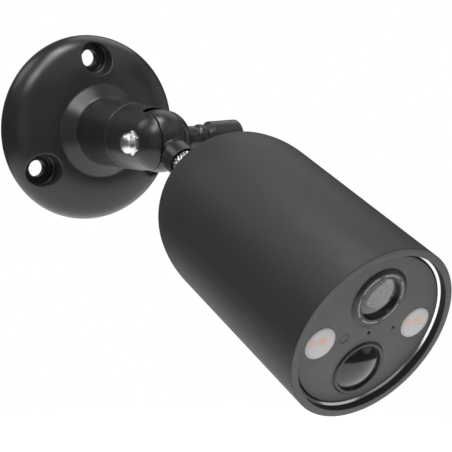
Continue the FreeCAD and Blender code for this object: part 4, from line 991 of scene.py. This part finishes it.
def small_windows():
    on_panel("daylight_disc", [
        (0, PANEL_BACK), (SENSOR_RADIUS, PANEL_BACK), (SENSOR_RADIUS, FACE - 0.12, 0.1), (0, FACE - 0.12),
    ], -SENSOR_OFFSET, SENSOR_HEIGHT, "tinted_plastic", "daylight_window", segments=64)
    on_panel("indicator_tip", [
        (0, REAR_GAP + 85.7), (1, REAR_GAP + 85.7), (1, PANEL_BACK), (PINHOLE - 0.04, PANEL_BACK),
        (PINHOLE - 0.04, FACE - 0.3, 0.1), (0, FACE - 0.3),
    ], SENSOR_OFFSET, SENSOR_HEIGHT, "tinted_plastic", "indicator_pipe", segments=32)


def repaint():
    """Gives every CAD node that still shows its slot's procedural material."""
    for item in frame["nodes"].values():
        for place in item.material_slots:
            place.material = LOOKS[place.material.name.split(".")[0]]


# ---------------------------------------------------------------- camera, light and floor


VIEW_TURN, VIEW_DROP, VIEW_ROLL = math.radians(-33.23), math.radians(11.22), math.radians(-0.657)
VIEW_POINT = Vector((-175.91, -366.71, 40.06))
FOCAL_LENGTH, FILM_WIDTH, NEAREST = 81.66, 36.0, 0.01


def camera():
    azimuth, elevation, roll = VIEW_TURN, VIEW_DROP, VIEW_ROLL
    aim = Vector((-math.sin(azimuth) * math.cos(elevation), math.cos(azimuth) * math.cos(elevation),
                  -math.sin(elevation)))
    right = aim.cross(UPRIGHT).normalized()
    above = right.cross(aim)
    right, above = (right * math.cos(roll) + above * math.sin(roll),
                    above * math.cos(roll) - right * math.sin(roll))
    item = bpy.data.objects.new("view", bpy.data.cameras.new("view"))
    item.data.lens, item.data.sensor_width = FOCAL_LENGTH, FILM_WIDTH
    item.data.clip_start = NEAREST
    item.matrix_world = Matrix.Translation(VIEW_POINT * MM) @ Matrix(
        (right, above, -aim)).transposed().to_4x4()
    bpy.context.scene.collection.objects.link(item)
    bpy.context.scene.camera = item


STUDIO_CENTRE, LIGHT_DISTANCE = Vector((0.02, -0.08, -0.02)), 1.3
AMBIENT, FLOOR_GLOW, FLOOR_DROP, FLOOR_RADIUS = 0.08, 0.72, 0.5, 1.0
LIGHTS = {  # azimuth from straight in front, elevation, width in metres, watts
    "key": (-58, 50, 0.45, 4.5),
    "key_above": (-50, 68, 0.45, 2.8),
    "overhead": (-60, 86, 0.5, 6.4),
    "front_left": (-45, 5, 0.9, 0.8),
    "front": (0, 5, 0.9, 0.5),
    "front_right": (45, 5, 0.9, 1.0),
    "right": (90, 5, 0.9, 0.8),
    "high_front": (0, 45, 0.9, 1.0),
    "high_front_right": (45, 45, 0.9, 1.3),
    "high_right": (90, 45, 0.9, 0.8),
    "high_back_right": (135, 45, 0.9, 2.0),
    "high_back_left": (225, 45, 0.6, 2.0),
    "high_left": (270, 45, 0.9, 0.6),
    "back": (180, 15, 0.9, 0.6),
}


def soft_light(name, azimuth, elevation, width, power):
    """A round soft box that faces the object and doesn't show in the picture itself."""
    turn, lift = math.radians(azimuth), math.radians(elevation)
    away = Vector((math.sin(turn) * math.cos(lift), -math.cos(turn) * math.cos(lift), math.sin(lift)))
    data = bpy.data.lights.new(name, "AREA")
    data.shape, data.size, data.energy = "DISK", width, power
    item = bpy.data.objects.new(name, data)
    item.location = STUDIO_CENTRE + away * LIGHT_DISTANCE
    item.rotation_euler = away.to_track_quat("Z", "Y").to_euler()
    item.visible_camera = False
    bpy.context.scene.collection.objects.link(item)


def studio():
    """A white room: a ring of soft boxes, a glowing pale floor and a white backdrop that lights little."""
    world = bpy.data.worlds.new("studio")
    bpy.context.scene.world = world
    world.use_nodes = True
    tree = world.node_tree
    rays = tree.nodes.new("ShaderNodeLightPath")
    strength = tree.nodes.new("ShaderNodeMapRange")
    strength.inputs["To Min"].default_value = AMBIENT
    tree.links.new(rays.outputs["Is Camera Ray"], strength.inputs["Value"])
    background = tree.nodes["Background"]
    background.inputs["Color"].default_value = (1, 1, 1, 1)
    tree.links.new(strength.outputs[0], background.inputs["Strength"])
    bpy.context.scene.view_settings.view_transform = "Standard"
    for name, values in LIGHTS.items():
        soft_light(name, *values)

    bm = bmesh.new()
    bmesh.ops.create_circle(bm, cap_ends=True, segments=96, radius=FLOOR_RADIUS)
    mesh = bpy.data.meshes.new("floor")
    bm.to_mesh(mesh)
    bm.free()
    floor = bpy.data.objects.new("floor", mesh)
    floor.location = (0, 0, -FLOOR_DROP)
    bpy.context.scene.collection.objects.link(floor)
    look = Look("pale_floor", (0.9, 0.9, 0.9), 0.9, emission_color=(1, 1, 1, 1), emission_strength=FLOOR_GLOW)
    look.feed(base_color=look.blend(look.noise(40.0), (0.78, 0.78, 0.78), (0.82, 0.82, 0.82)))
    mesh.materials.append(look.material)


repaint()
wall_plate()
swivel_fork()
cap_nut()
thumb_knob()
tilt_knuckle()
knurled_collar()
main_housing()
port_flap()
front_panel()
lens()
motion_window()
spotlight("left", -1)
spotlight("right", 1)
small_windows()
camera()
studio()
